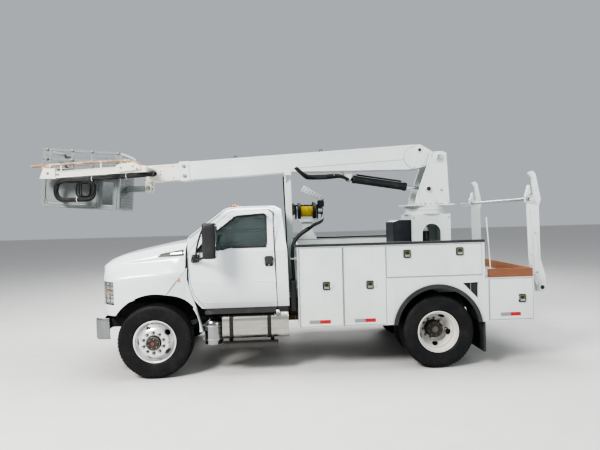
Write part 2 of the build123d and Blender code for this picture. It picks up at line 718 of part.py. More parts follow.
# Inside the cab: dashboard with the steering wheel, and the bench
dash_x = (560, 740)
dash_z = (1480, 1760)
wheel_centre = (885, -430, 1690)
wheel_radius = 215
seat_half = 800

with BuildPart() as dashboard:
    side_panel([(dash_x[0] - 100, dash_z[0]), (dash_x[0] - 100, dash_z[1]), (dash_x[0] + 40, dash_z[1] + 10),
                (dash_x[1], dash_z[1] - 70), (dash_x[1], dash_z[0])], (-890, 890))
    add(cab_inner, mode=Mode.INTERSECT)
    bar((dash_x[1] - 20, wheel_centre[1], wheel_centre[2] - 90), wheel_centre, 30)
    hub = Plane(origin=(front_axle_x + wheel_centre[0], wheel_centre[1], wheel_centre[2]),
                x_dir=(0, 1, 0), z_dir=(145, 0, 90))
    with Locations(hub):
        Torus(wheel_radius, 15)
        Box(2 * wheel_radius, 34, 18)
        Box(34, 2 * wheel_radius, 18)
dashboard.part.label = "dashboard"
export_step(dashboard.part, "parts/dashboard.step")

with BuildPart() as seats:
    for y in ((-seat_half, -60), (60, seat_half)):
        side_panel([(1130, 980), (1110, 1290), (1180, 1340), (1560, 1300), (1650, 1900), (1740, 1890),
                    (1700, 1240), (1640, 980)], y)
seats.part.label = "seats"
export_step(seats.part, "parts/seats.step")

# Fuel tank on the left: round-cornered aluminium drum held by two straps
tank_x = (938, 1876)
tank_y = (470, 1128)
tank_z = (497, 868)
tank_corner = 110
strap_x = (1045, 1640)
strap_wide = 50
strap_thick = 6

with BuildPart() as fuel_tank:
    with BuildSketch(section(tank_x[0])) as drum:
        with Locations((-(tank_y[0] + tank_y[1]) / 2, sum(tank_z) / 2)):
            RectangleRounded(tank_y[1] - tank_y[0], tank_z[1] - tank_z[0], tank_corner)
    extrude(drum.sketch, amount=tank_x[1] - tank_x[0])
    for x in strap_x:
        with BuildSketch(section(x - strap_wide / 2)) as strap:
            with Locations((-(tank_y[0] + tank_y[1]) / 2, sum(tank_z) / 2)):
                RectangleRounded(tank_y[1] - tank_y[0] + 2 * strap_thick,
                                 tank_z[1] - tank_z[0] + 2 * strap_thick, tank_corner + strap_thick)
        extrude(strap.sketch, amount=strap_wide)
        block((x - strap_wide / 2, x + strap_wide / 2), (-tank_y[0] - 20, -rail_half),
              (rail_bottom + 20, tank_z[1] - 20))
fuel_tank.part.label = "fuel_tank"
export_step(fuel_tank.part, "parts/fuel_tank.step")

# Bright upright canister ahead of the tank
canister_x = 799
canister_y = 985
canister_radius = 133
canister_z = (436, 800)

with BuildPart() as canister:
    with BuildSketch(plan(canister_z[0])) as base:
        with Locations((canister_x, -canister_y)):
            Circle(canister_radius)
    extrude(base.sketch, amount=canister_z[1] - canister_z[0])
    top_edge = canister.part.faces().sort_by(Axis.Z)[-1].edges()
    fillet(top_edge, 100)
    block((canister_x - 40, canister_x + 40), (-canister_y + 60, -rail_half), (720, 770))
canister.part.label = "canister"
export_step(canister.part, "parts/canister.step")

# Cab steps on both sides, with the battery box behind the right-hand ones
step_y = (1000, 1150)
upper_step_x = (705, 1700)
upper_step_z = (876, 918)
lower_step_x = (941, 1718)
lower_step_z = (373, 446)
battery_x = (938, 1876)

with BuildPart() as cab_steps:
    for way in (-1, 1):
        out = sorted((way * step_y[0], way * step_y[1]))
        block(upper_step_x, out, upper_step_z)
        block(lower_step_x, out, lower_step_z)
        for x in strap_x:
            hanger = sorted((way * step_y[0], way * (step_y[0] + 12)))
            block((x - 25, x + 25), hanger, (lower_step_z[0], tank_z[0] - strap_thick))
        for x in (upper_step_x[0] + 120, upper_step_x[1] - 120):
            stay = sorted((way * rail_half, way * (step_y[0] + 20)))
            block((x - 20, x + 20), stay, (upper_step_z[0], upper_step_z[1] - 12))
    block(battery_x, (tank_y[0] + 60, tank_y[1] - 40), (tank_z[0] - strap_thick, upper_step_z[0]))
    block((battery_x[0] + 100, battery_x[1] - 100), (rail_half, tank_y[0] + 70),
          (rail_bottom + 30, upper_step_z[0] - 20))
cab_steps.part.label = "cab_steps"
export_step(cab_steps.part, "parts/cab_steps.step")


# Service body: hollow side lockers round the rear wheels, and the floor between them
body_front = 2024
body_half = 1216
body_bottom = 645
locker_deep = 456
locker_inner = body_half - locker_deep
locker_top = 1790
low_top = 1272                  # the lockers behind the tall part
tall_rear = wheelbase + 689
body_wall = 22
body_arch = (wheelbase - 5, 557)
body_arch_radius = 642
door_thick = 30
door_hinge_line = body_half + 2 # axis of each locker door's long hinge
door_hinge_radius = 5.5
deck_z = (1075, 1105)
sill_y = 395
sill_wide = 80

# lockers with a door each: front edge, rear edge, bottom and top of the door
first_seam = 2658
second_seam = wheelbase - 737   # ahead of the rear wheel's arch
tall_doors = ((body_front + 16, first_seam - 6, 662, 1768), (first_seam + 6, second_seam - 8, 662, 1768))
drop_door = (second_seam + 8, tall_rear - 42, 1322, 1768)
low_door = (tall_rear + 55, body_rear - 17, 668, 1252)
recess = ((wheelbase + 364, 1209), (wheelbase + 590, 1216), (wheelbase + 585, 980))


for name, way in (("left", -1), ("right", 1)):
    depth = sorted((way * locker_inner, way * body_half))
    with BuildPart() as lockers:
        with BuildSketch(side(depth[1])) as outline:
            with BuildLine():
                Polyline((body_front, body_bottom), (body_front, locker_top), (tall_rear, locker_top),
                         (tall_rear, low_top), (body_rear, low_top), (body_rear, body_bottom),
                         close=True)
            make_face()
            with Locations(body_arch):
                Circle(body_arch_radius, mode=Mode.SUBTRACT)
            with BuildLine():
                Polyline(*recess, close=True)
            make_face(mode=Mode.SUBTRACT)
        extrude(outline.sketch, amount=locker_deep)
        hollow = sorted((way * (locker_inner + body_wall), way * (body_half - door_thick)))
        mouth = sorted((way * (body_half - door_thick - 1), way * (body_half + 1)))
        for x0, x1, z0, z1 in (*tall_doors, drop_door, low_door):
            block((x0 + 12, x1 - 12), hollow, (z0 + 12, z1 - 12), mode=Mode.SUBTRACT)
            block((x0 - panel_gap, x1 + panel_gap), mouth, (z0 - panel_gap, z1 + panel_gap),
                  mode=Mode.SUBTRACT)
    lockers.part.label = f"lockers_{name}"
    export_step(lockers.part, f"parts/lockers_{name}.step")

    for number, (x0, x1, z0, z1) in enumerate((*tall_doors, drop_door, low_door), start=1):
        leaf = sorted((way * (body_half - door_thick - 1 + running_gap), way * body_half))
        with BuildPart() as locker_door:
            block((x0, x1), leaf, (z0, z1))
            if number == 3:
                bar((x0, way * door_hinge_line, z0), (x1, way * door_hinge_line, z0), door_hinge_radius)
            else:
                bar((x0, way * door_hinge_line, z0), (x0, way * door_hinge_line, z1), door_hinge_radius)
            latch = sorted((way * (body_half - 2), way * (body_half + 14)))
            if number == 3:
                for x in (x0 + 300, x1 - 320):
                    block((x - 45, x + 45), latch, (z1 - 120, z1 - 70))
            else:
                middle = z0 + (z1 - z0) * 0.52
                block((x1 - 230, x1 - 140), latch, (middle - 30, middle + 30))
        locker_door.part.label = f"locker_door_{name}_{number}"
        export_step(locker_door.part, f"parts/locker_door_{name}_{number}.step")

# Ears at the tail that carry the two reel arms
reel_hinge_z = 1076
reel_pin_radius = 26
reel_ear_y = (905, 952)
reel_arm_y = (955, 997)
tail_plate_thick = 18
tail_plate_z = (960, 1262)

# Floor between the lockers, on two sills over the frame, with bulkheads at both ends
with BuildPart() as body_floor:
    block((body_front, body_rear), (-locker_inner, locker_inner), deck_z)
    for y in (-sill_y, sill_y):
        block((body_front, body_rear), (y - sill_wide / 2, y + sill_wide / 2), (rail_top, deck_z[0]))
    block((body_front + 20, body_front + 42), (-locker_inner, locker_inner), (deck_z[0], locker_top))
    block((body_rear - 22, body_rear), (-locker_inner, locker_inner), (deck_z[1] - 5, low_top))
    block((body_rear, body_rear + tail_plate_thick), (-reel_ear_y[1], reel_ear_y[1]), tail_plate_z)
    for way in (-1, 1):
        ear = sorted((way * reel_ear_y[0], way * reel_ear_y[1]))
        side_panel([(body_rear, tail_plate_z[0]), (body_rear, tail_plate_z[1]),
                    (reel_hinge_x, reel_hinge_z + 55), (reel_hinge_x + 50, reel_hinge_z),
                    (reel_hinge_x, reel_hinge_z - 55)], ear)
        pin = sorted((way * (reel_ear_y[0] + 5), way * (reel_arm_y[1] + 12)))
        cross_rod(reel_hinge_x, pin, reel_hinge_z, reel_pin_radius)
body_floor.part.label = "body_floor"
export_step(body_floor.part, "parts/body_floor.step")

# Dark trim: rails along the lockers' tops, lips round the wheel arches and the mud flaps
rail_tall = 32
lip_wide = 52
lip_out = 28
flap_x = (wheelbase + 655, wheelbase + 687)
flap_z = (210, 645)

with BuildPart() as body_trim:
    for way in (-1, 1):
        edge = sorted((way * (body_half - 70), way * (body_half + 14)))
        block((body_front - 40, tall_rear), edge, (locker_top, locker_top + rail_tall))
        face = sorted((way * body_half, way * (body_half + lip_out)))
        with BuildSketch(side(face[1])) as lip:
            with Locations(body_arch):
                Circle(body_arch_radius + 4)
                Circle(body_arch_radius - lip_wide, mode=Mode.SUBTRACT)
            with Locations((body_arch[0], body_bottom - 1000)):
                Rectangle(2000, 2000, mode=Mode.SUBTRACT)
        extrude(lip.sketch, amount=lip_out)
        flap = sorted((way * 640, way * 1210))
        block(flap_x, flap, flap_z)
body_trim.part.label = "body_trim"
export_step(body_trim.part, "parts/body_trim.step")

# Wooden boards that raise the sides of the low rear part
board_thick = 38
board_x = (tall_rear + 63, body_rear - 39)
board_top = 1394

with BuildPart() as tail_boards:
    for way in (-1, 1):
        board = sorted((way * (body_half - 20), way * (body_half - 20 - board_thick)))
        block(board_x, board, (low_top, board_top))
    block((board_x[1], board_x[1] + board_thick - 2), (20 - body_half, body_half - 20), (low_top, board_top))
tail_boards.part.label = "tail_boards"
export_step(tail_boards.part, "parts/tail_boards.step")

# Pedestal: a hollow box with arched openings in both flanks and a round top flange
turret_x = 4250
pedestal_half = 312
pedestal_wall = 20
pedestal_top = 2206
pedestal_arch_half = 155
pedestal_arch_z = (1480, 1900)
flange_radius = 345
flange_top = 2238

with BuildPart() as pedestal:
    box_x = (turret_x - pedestal_half, turret_x + pedestal_half)
    block(box_x, (-pedestal_half, pedestal_half), (deck_z[1], pedestal_top))
    block((box_x[0] + pedestal_wall, box_x[1] - pedestal_wall),
          (pedestal_wall - pedestal_half, pedestal_half - pedestal_wall),
          (deck_z[1] + pedestal_wall, pedestal_top - pedestal_wall), mode=Mode.SUBTRACT)
    with BuildSketch(side(pedestal_half + 1)) as arch:
        with BuildLine():
            Polyline((turret_x + pedestal_arch_half, pedestal_arch_z[1]),
                     (turret_x + pedestal_arch_half, pedestal_arch_z[0]),
                     (turret_x - pedestal_arch_half, pedestal_arch_z[0]),
                     (turret_x - pedestal_arch_half, pedestal_arch_z[1]))
            ThreePointArc((turret_x - pedestal_arch_half, pedestal_arch_z[1]),
                          (turret_x, pedestal_arch_z[1] + pedestal_arch_half),
                          (turret_x + pedestal_arch_half, pedestal_arch_z[1]))
        make_face()
    extrude(arch.sketch, amount=2 * pedestal_half + 2, mode=Mode.SUBTRACT)
    with BuildSketch(plan(pedestal_top)) as flange:
        with Locations((turret_x, 0)):
            Circle(flange_radius)
    extrude(flange.sketch, amount=flange_top - pedestal_top)
pedestal.part.label = "pedestal"
export_step(pedestal.part, "parts/pedestal.step")

# Turret: slewing ring, base plate and two cheek plates that hold the boom's pin
ring_radius = 330
ring_top = 2345
base_x = (3865, 4684)
base_half = 320
base_top = 2368
cheek_inner = 185
cheek_thick = 18
cheek_rows = ((4307, 3212), (4370, 3238), (4500, 3238), (4562, 3212), (4604, base_top),
              (4022, base_top), (4040, 2470))
cheek_web = (4566, 4586)
cheek_web_z = (base_top, 3040)
boom_pin = (4440, 3140)
boom_pin_radius = 36
boom_boss_radius = 74
rod_pin = (4249, 2623)
rod_pin_radius = 28

with BuildPart() as turret:
    with BuildSketch(plan(flange_top + running_gap)) as ring:
        with Locations((turret_x, 0)):
            Circle(ring_radius)
    extrude(ring.sketch, amount=ring_top - flange_top - running_gap)
    with BuildSketch(plan(ring_top)) as base:
        with Locations((sum(base_x) / 2, 0)):
            RectangleRounded(base_x[1] - base_x[0], 2 * base_half, 90)
    extrude(base.sketch, amount=base_top - ring_top)
    for way in (-1, 1):
        cheek = sorted((way * cheek_inner, way * (cheek_inner + cheek_thick)))
        side_panel(cheek_rows, cheek)
        boss = sorted((way * (cheek_inner + cheek_thick - 2), way * (cheek_inner + cheek_thick + 22)))
        cross_rod(boom_pin[0], boss, boom_pin[1], boom_pin_radius + 26)
        cross_rod(rod_pin[0], boss, rod_pin[1], rod_pin_radius + 20)
    block(cheek_web, (-cheek_inner - 2, cheek_inner + 2), cheek_web_z)
    cross_rod(boom_pin[0], (-cheek_inner - 25, cheek_inner + 25), boom_pin[1], boom_pin_radius)
turret.part.label = "turret"
export_step(turret.part, "parts/turret.step")

# Booms: the inner one slides in the outer one, both along a line that falls to the front
boom_slope = 3.2
boom_front = (205, 3002.5)      # centre of the outer boom's front end
boom_half = 147.5
boom_wide_half = 130
boom_wall = 11
tube_long = 3840
collar_long = 120
collar_grow = 8
bore_long = 3560
inner_half = 131
inner_wide_half = 111
inner_wall = 12
inner_tip = -556
inner_rear = 3300
pad_long = 110
elbow_rows = ((4496, 3096), (4500, 3190), (4370, 3239), (4154, 3366), (4025, 3363))
elbow_from = 3900
elbow_to = 4400
keel_rows = ((4213, 2986), (3940, 2956), (2051, 2958))
lift_pin = (2957, 2835)
lift_pin_radius = 26
lift_ear_y = (37, 61)
lift_ear_rows = ((2852, 2962), (3024, 2962), (2998, 2835), (2978, 2792), (2936, 2792), (2914, 2835))


def boom_edge(x, side):
    """Height of the outer boom's top (side 1) or bottom (side -1) edge."""
    slope = radians(boom_slope)
    return boom_front[1] + (x - boom_front[0]) * tan(slope) + side * boom_half / cos(slope)


def along_boom(y):
    """Plane in side view, turned to run along the booms from the front end."""
    return Plane(origin=(front_axle_x + boom_front[0], y, boom_front[1]),
                 x_dir=(cos(radians(boom_slope)), 0, sin(radians(boom_slope))), z_dir=(0, -1, 0))


def boom_block(s, t, half, mode=Mode.ADD):
    """Box along the boom: s along it, t across it in side view, half as wide as given."""
    with BuildSketch(along_boom(half)) as outline:
        with Locations((sum(s) / 2, sum(t) / 2)):
            Rectangle(s[1] - s[0], t[1] - t[0])
    extrude(outline.sketch, amount=2 * half, mode=mode)


with BuildPart() as outer_boom:
    boom_block((0, tube_long), (-boom_half, boom_half), boom_wide_half)
    side_panel([(elbow_from, boom_edge(elbow_from, -1)), (elbow_to, boom_edge(elbow_to, -1)), *elbow_rows,
                (elbow_from, boom_edge(elbow_from, 1))], (-boom_wide_half, boom_wide_half))
    cross_rod(boom_pin[0], (-cheek_inner + running_gap, cheek_inner - running_gap), boom_pin[1],
              boom_boss_radius)
    boom_block((-1, collar_long), (-inner_half - running_gap, inner_half + running_gap),
               inner_wide_half + running_gap, mode=Mode.SUBTRACT)
    boom_block((collar_long - 1, bore_long), (boom_wall - boom_half, boom_half - boom_wall),
               boom_wide_half - boom_wall, mode=Mode.SUBTRACT)
    cross_rod(boom_pin[0], (-cheek_inner, cheek_inner), boom_pin[1], boom_pin_radius + running_gap,
              mode=Mode.SUBTRACT)
outer_boom.part.label = "outer_boom"
export_step(outer_boom.part, "parts/outer_boom.step")

# What is welded round the outer boom: the collar at its mouth, and the keel with the lift ears
collar_lip = 10

with BuildPart() as boom_fittings:
    boom_block((-collar_lip, collar_long + 20), (-boom_half - collar_grow, boom_half + collar_grow),
               boom_wide_half + collar_grow)
    boom_block((0, collar_long + 21), (-boom_half, boom_half), boom_wide_half, mode=Mode.SUBTRACT)
    boom_block((-collar_lip - 1, 1), (-inner_half - running_gap, inner_half + running_gap),
               inner_wide_half + running_gap, mode=Mode.SUBTRACT)
    side_panel([(elbow_to, boom_edge(elbow_to, -1)), *keel_rows], (-boom_wide_half, boom_wide_half))
    for way in (-1, 1):
        side_panel(lift_ear_rows, sorted((way * lift_ear_y[0], way * lift_ear_y[1])))
    cross_rod(lift_pin[0], (-lift_ear_y[1] - 8, lift_ear_y[1] + 8), lift_pin[1], lift_pin_radius)
    boom_block((0, tube_long + 600), (-boom_half, boom_half), boom_wide_half + 1, mode=Mode.SUBTRACT)
    cross_rod(boom_pin[0], (-cheek_inner, cheek_inner), boom_pin[1], boom_boss_radius + running_gap,
              mode=Mode.SUBTRACT)
boom_fittings.part.label = "boom_fittings"
export_step(boom_fittings.part, "parts/boom_fittings.step")

# Post that carries the boom when it is stowed
post_foot = (1912, 2018)
post_head = (1884, 1990)
post_half = 62
rest_pad_x = (1884, 2000)
rest_top = boom_edge(rest_pad_x[0], -1) - running_gap

with BuildPart() as boom_rest:
    side_panel([(post_foot[0], rail_top), (post_foot[1], rail_top), (post_head[1], rest_top - 30),
                (post_head[0], rest_top - 30)], (-post_half, post_half))
    block(rest_pad_x, (-150, 150), (rest_top - 30, rest_top))
    block((post_foot[0] - 8, body_front - 6), (-rail_half, rail_half), (rail_top, rail_top + 60))
boom_rest.part.label = "boom_rest"
export_step(boom_rest.part, "parts/boom_rest.step")


# Bracket under the inner boom's tip, where the platform pivots
tip_pin = (-330, 2740)
tip_pin_radius = 22
tip_ear_y = (67, 89)
tip_ear_rows = ((-372, 2862), (-282, 2862), (-284, 2700), (-310, 2672), (-350, 2672), (-376, 2700))

with BuildPart() as tip_bracket:
    for way in (-1, 1):
        side_panel(tip_ear_rows, sorted((way * tip_ear_y[0], way * tip_ear_y[1])))
    boom_block((inner_tip, 0), (inner_wall / 2 - inner_half, inner_half), inner_wide_half,
               mode=Mode.SUBTRACT)
    cross_rod(tip_pin[0], (-tip_ear_y[1] - 8, tip_ear_y[1] + 8), tip_pin[1], tip_pin_radius)

with BuildPart() as inner_boom:
    boom_block((inner_tip, inner_rear), (-inner_half, inner_half), inner_wide_half)
    boom_block((inner_rear - pad_long, inner_rear),
               (boom_wall - boom_half + running_gap, boom_half - boom_wall - running_gap),
               boom_wide_half - boom_wall - running_gap)
    boom_block((inner_tip + 26, inner_rear + 1), (inner_wall - inner_half, inner_half - inner_wall),
               inner_wide_half - inner_wall, mode=Mode.SUBTRACT)
    add(tip_bracket.part)
inner_boom.part.label = "inner_boom"
export_step(inner_boom.part, "parts/inner_boom.step")

# Lift cylinder: barrel pinned under the boom, rod to the turret's cheeks
cylinder_long = hypot(rod_pin[0] - lift_pin[0], rod_pin[1] - lift_pin[1])
cylinder_angle = atan2(rod_pin[1] - lift_pin[1], rod_pin[0] - lift_pin[0])
barrel_radius = 62
barrel_bore = 46
barrel_long = 990
barrel_start = 76
gland_long = 45
rod_radius = 32
piston_at = 240
piston_long = 40
lift_eye_radius = 48
rod_eye_radius = 50


def along_cylinder(s):
    """Plane across the cylinder, s along it from the boom's pin."""
    d = Vector(cos(cylinder_angle), 0, sin(cylinder_angle))
    origin = Vector(front_axle_x + lift_pin[0], 0, lift_pin[1]) + d * s
    return Plane(origin=origin, z_dir=d)


def turned(s, radius, mode=Mode.ADD):
    """Round piece along the cylinder between the (low, high) pair s."""
    with BuildSketch(along_cylinder(s[0])) as disc:
        Circle(radius)
    extrude(disc.sketch, amount=s[1] - s[0], mode=mode)


with BuildPart() as lift_barrel:
    cross_rod(lift_pin[0], (running_gap - lift_ear_y[0], lift_ear_y[0] - running_gap), lift_pin[1],
              lift_eye_radius)
    turned((0, barrel_start + 5), 30)
    turned((barrel_start, barrel_long), barrel_radius)
    turned((barrel_start + 30, barrel_long - gland_long), barrel_bore, mode=Mode.SUBTRACT)
    turned((barrel_long - gland_long - 1, barrel_long + 1), rod_radius + running_gap, mode=Mode.SUBTRACT)
    cross_rod(lift_pin[0], (-60, 60), lift_pin[1], lift_pin_radius + running_gap, mode=Mode.SUBTRACT)
lift_barrel.part.label = "lift_barrel"
export_step(lift_barrel.part, "parts/lift_barrel.step")

with BuildPart() as lift_rod:
    turned((piston_at, piston_at + piston_long), barrel_bore - running_gap)
    turned((piston_at + 1, cylinder_long), rod_radius)
    cross_rod(rod_pin[0], (-46, 46), rod_pin[1], rod_eye_radius)
    cross_rod(rod_pin[0], (3 - cheek_inner, cheek_inner - 3), rod_pin[1], rod_pin_radius)
lift_rod.part.label = "lift_rod"
export_step(lift_rod.part, "parts/lift_rod.step")

# Platform: open tub with a side entry, rails above it and an arm to the boom's tip
platform_tilt = 4.5
platform_corner = (-722, 2386)  # lower rear edge
platform_long = 1192
platform_half = 355
platform_wall = 26
platform_floor = 40
tub_tall = 600
rail_height = 890
middle_rail_height = 745
rail_radius = 17
post_at = (-740, -440)
corner_plates = ((-1192, -1052), (-92, 0))     # wide plates that stand at the front and rear corners
plate_thick = 12
plate_holes = ((-1112, 795), (-1112, 716))
plate_hole_radius = 23
nose_corner = 70
opening_u = (-262, -86)         # see-through opening in both sides
opening_t = (70, 440)
recess_u = (-1130, -420)
recess_t = (60, 550)
recess_deep = 7
louvre_count = 11
louvre_tall = 22
louvre_deep = 9
mount_half = 60


def along_platform(y):
    """Plane in side view, square with the platform: u to the rear, t up."""
    tilt = radians(platform_tilt)
    return Plane(origin=(front_axle_x + platform_corner[0], y, platform_corner[1]),
                 x_dir=(cos(tilt), 0, -sin(tilt)), z_dir=(0, -1, 0))


def platform_block(u, t, y, mode=Mode.ADD):
    """Box square with the platform."""
    with BuildSketch(along_platform(y[1])) as outline:
        with Locations((sum(u) / 2, sum(t) / 2)):
            Rectangle(u[1] - u[0], t[1] - t[0])
    extrude(outline.sketch, amount=y[1] - y[0], mode=mode)


with BuildPart() as platform:
    whole = (-platform_half, platform_half)
    inside = (platform_wall - platform_half, platform_half - platform_wall)
    platform_block((-platform_long, 0), (0, tub_tall), whole)
    nose = platform.part.edges().filter_by(Axis.Y).sort_by(Axis.Z)[:2].sort_by(Axis.X)[0]
    fillet(nose, nose_corner)
    platform_block((platform_wall - platform_long, -platform_wall), (platform_floor, tub_tall + 1),
                   inside, mode=Mode.SUBTRACT)
    platform_block(opening_u, opening_t, (-platform_half - 1, platform_half + 1), mode=Mode.SUBTRACT)
    for way in (-1, 1):
        panel = sorted((way * (platform_half + 1), way * (platform_half - recess_deep)))
        platform_block(recess_u, recess_t, panel, mode=Mode.SUBTRACT)
    louvre_pitch = (tub_tall - 80) / louvre_count
    for row in range(louvre_count):
        t = 50 + row * louvre_pitch
        platform_block((-louvre_deep, 1), (t, t + louvre_tall), (60 - platform_half, platform_half - 60),
                       mode=Mode.SUBTRACT)
    for way in (-1, 1):
        flank = way * (platform_half - rail_radius)
        line = sorted((flank - rail_radius, flank + rail_radius))
        for height in (middle_rail_height, rail_height):
            platform_block((-platform_long, 0), (height - rail_radius, height + rail_radius), line)
        for u in post_at:
            platform_block((u - rail_radius, u + rail_radius), (tub_tall - 40, rail_height), line)
        plate = sorted((way * platform_half, way * (platform_half - plate_thick)))
        for u in corner_plates:
            platform_block(u, (tub_tall - 40, rail_height + rail_radius), plate)
        for u, t in plate_holes:
            platform_block((u - plate_hole_radius, u + plate_hole_radius),
                           (t - plate_hole_radius, t + plate_hole_radius), plate, mode=Mode.SUBTRACT)
    for height in (middle_rail_height, rail_height):
        for u in ((-platform_long, 2 * rail_radius - platform_long), (-2 * rail_radius, 0)):
            platform_block(u, (height - rail_radius, height + rail_radius),
                           (rail_radius - platform_half, platform_half - rail_radius))
    side_panel([(platform_corner[0] - 5, tip_pin[1] - 50), (platform_corner[0] - 5, tip_pin[1] + 48),
                (tip_pin[0], tip_pin[1] + 44), (tip_pin[0] + 44, tip_pin[1]),
                (tip_pin[0], tip_pin[1] - 44)], (-mount_half, mount_half))
    cross_rod(tip_pin[0], (-mount_half - 5, mount_half + 5), tip_pin[1],
              tip_pin_radius + running_gap, mode=Mode.SUBTRACT)
platform.part.label = "platform"
export_step(platform.part, "parts/platform.step")

# Side arm beside the platform, carried by the inner boom's tip, with a thin bent rod
arm_y = (-525, -455)
arm_rows = ((-1600, 2896), (-1600, 2992), (-430, 3062), (-235, 3062), (-235, 2962), (-430, 2958))
arm_block_rows = ((-1812, 2892), (-1758, 3048), (-1592, 3042), (-1577, 2887))
arm_root_x = (-342, -240)
arm_root_z = (2968, 3056)
arm_rod_rows = ((-arm_rod_reach, 3080), (-1511, 3105), (-916, 3131), (-512, 3142), (-290, 3058))
arm_rod_radius = 10
arm_rod_y = -490

with BuildPart() as side_arm:
    side_panel(arm_rows, arm_y)
    side_panel(arm_block_rows, (arm_y[0] - 12, arm_y[1] + 12))
    block(arm_root_x, (arm_y[1] - 5, -inner_wide_half), arm_root_z)
    for a, b in zip(arm_rod_rows[:-1], arm_rod_rows[1:]):
        bar((a[0], arm_rod_y, a[1]), (b[0], arm_rod_y, b[1]), arm_rod_radius)
    for x, z in arm_rod_rows[1:4]:
        with Locations((front_axle_x + x, arm_rod_y, z)):
            Sphere(arm_rod_radius)
        block((x - 8, x + 8), (arm_rod_y - 8, arm_rod_y + 8), (z - 110, z))
side_arm.part.label = "side_arm"
export_step(side_arm.part, "parts/side_arm.step")

# Black hose bundle: a run under the side arm and an oval loop that hangs from it
hose_radius = 38
loop_centre = (-1317, 2711)
loop_size = (566, 290)
loop_corner = 140
hose_y = -490

with BuildPart() as hose_loop:
    with BuildSketch(side(hose_y)) as loop_face:
        with Locations(loop_centre):
            RectangleRounded(loop_size[0], loop_size[1], loop_corner)
    loop_path = loop_face.sketch.face().outer_wire()
    start = loop_path @ 0
    with BuildSketch(Plane(origin=start, z_dir=loop_path % 0)) as hose_ring:
        Circle(hose_radius)
    sweep(hose_ring.sketch, path=loop_path)
    bar((-250, hose_y, 2923.2), (-760, hose_y, 2896), hose_radius)
    bar((-760, hose_y, 2896), (-1180, hose_y, loop_centre[1] + loop_size[1] / 2), hose_radius)
hose_loop.part.label = "hose_loop"
export_step(hose_loop.part, "parts/hose_loop.step")

# Oil reservoir ahead of the pedestal, with a sloped lid
reservoir_x = (turret_x - 612, turret_x - pedestal_half - 6)
reservoir_half = 250
reservoir_top = 2118

with BuildPart() as reservoir:
    side_panel([(reservoir_x[0], deck_z[1]), (reservoir_x[0], reservoir_top - 30),
                (reservoir_x[0] + 90, reservoir_top), (reservoir_x[1], reservoir_top),
                (reservoir_x[1], deck_z[1])], (-reservoir_half, reservoir_half))
reservoir.part.label = "reservoir"
export_step(reservoir.part, "parts/reservoir.step")

# Rope winch on a stand on the right-hand lockers
winch_y = 900
winch_z = 2330
drum_x = (2140, 2460)
winch_stand_x = (2200, 2400)
flange_thick = 12
flange_half = 145
core_radius = 104

with BuildPart() as winch:
    block(winch_stand_x, (winch_y - 60, winch_y + 60), (locker_top, winch_z - flange_half - 22))
    block((drum_x[0] - 30, drum_x[1] + 30), (winch_y - 70, winch_y + 70),
          (winch_z - flange_half - 24, winch_z - flange_half - 8))
    for x in (drum_x[0] - 30, drum_x[1] + 18):
        block((x, x + 12), (winch_y - 60, winch_y + 60), (winch_z - flange_half - 10, winch_z + 40))
    bar((drum_x[0] - 30, winch_y, winch_z), (drum_x[1] + 30, winch_y, winch_z), 22)
    bar((drum_x[0], winch_y, winch_z), (drum_x[1], winch_y, winch_z), core_radius)
    for x in (drum_x[0], drum_x[1] - flange_thick):
        bar((x, winch_y, winch_z), (x + flange_thick, winch_y, winch_z), flange_half)
    bar((drum_x[1] + 28, winch_y, winch_z), (drum_x[1] + 130, winch_y, winch_z), 58)
winch.part.label = "winch"
export_step(winch.part, "parts/winch.step")

# Reel arms: two tall hooks hinged at the tail, with the spindle between them
reel_arm_from_hinge = ((-74, 1096), (-159, 1330), (-172, 1500), (-196, 2330), (-224, 2350), (-224, 2440),
                       (-176, 2600), (-156, 2600), (-144, 2446), (-98, 2446), (-114, 2700), (-164, 2765),
                       (-166, 2790), (-104, 2808), (-64, 2760), (8, 2385), (-24, 2290), (-12, 1500),
                       (56, 1260), (68, 1100))
reel_arm_rows = [(reel_hinge_x + back, z) for back, z in reel_arm_from_hinge]
reel_spindle = (reel_hinge_x - 172, 2392)
reel_spindle_radius = 28
reel_spindle_end = 1060

with BuildPart() as reel_arms:
    for way in (-1, 1):
        arm = sorted((way * reel_arm_y[0], way * reel_arm_y[1]))
        side_panel(reel_arm_rows, arm)
        cross_rod(reel_hinge_x, arm, reel_hinge_z, reel_eye_radius)
        cross_rod(reel_hinge_x, arm, reel_hinge_z, reel_pin_radius + running_gap, mode=Mode.SUBTRACT)
        cross_rod(reel_spindle[0], arm, reel_spindle[1], reel_spindle_radius + running_gap,
                  mode=Mode.SUBTRACT)
reel_arms.part.label = "reel_arms"
export_step(reel_arms.part, "parts/reel_arms.step")

with BuildPart() as reel_spindle_bar:
    cross_rod(reel_spindle[0], (-reel_spindle_end, reel_spindle_end), reel_spindle[1], reel_spindle_radius)
    for way in (-1, 1):
        collar = sorted((way * (reel_arm_y[1] + running_gap), way * (reel_arm_y[1] + 30)))
        cross_rod(reel_spindle[0], collar, reel_spindle[1], reel_spindle_radius + 20)
reel_spindle_bar.part.label = "reel_spindle"
export_step(reel_spindle_bar.part, "parts/reel_spindle.step")

# Lamps on the cab's roof and at the tail
roof_lamp_x = (1070, 1130)
roof_lamp_y = (-620, -230, 0, 230, 620)
roof_lamp_z = (2388, 2426)
tail_lamp_y = body_half - 96
tail_lamp_z = (1120, 1240)

with BuildPart() as lamps:
    for y in roof_lamp_y:
        block(roof_lamp_x, (y - 40, y + 40), roof_lamp_z)
    for y in (-tail_lamp_y, tail_lamp_y):
        block((body_rear, body_rear + 34), (y - 55, y + 55), tail_lamp_z)
lamps.part.label = "lamps"
export_step(lamps.part, "parts/lamps.step")
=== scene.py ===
import bmesh
import bpy
from math import cos, hypot, pi, radians, sin
from mathutils import Matrix, Vector
from mathutils.bvhtree import BVHTree


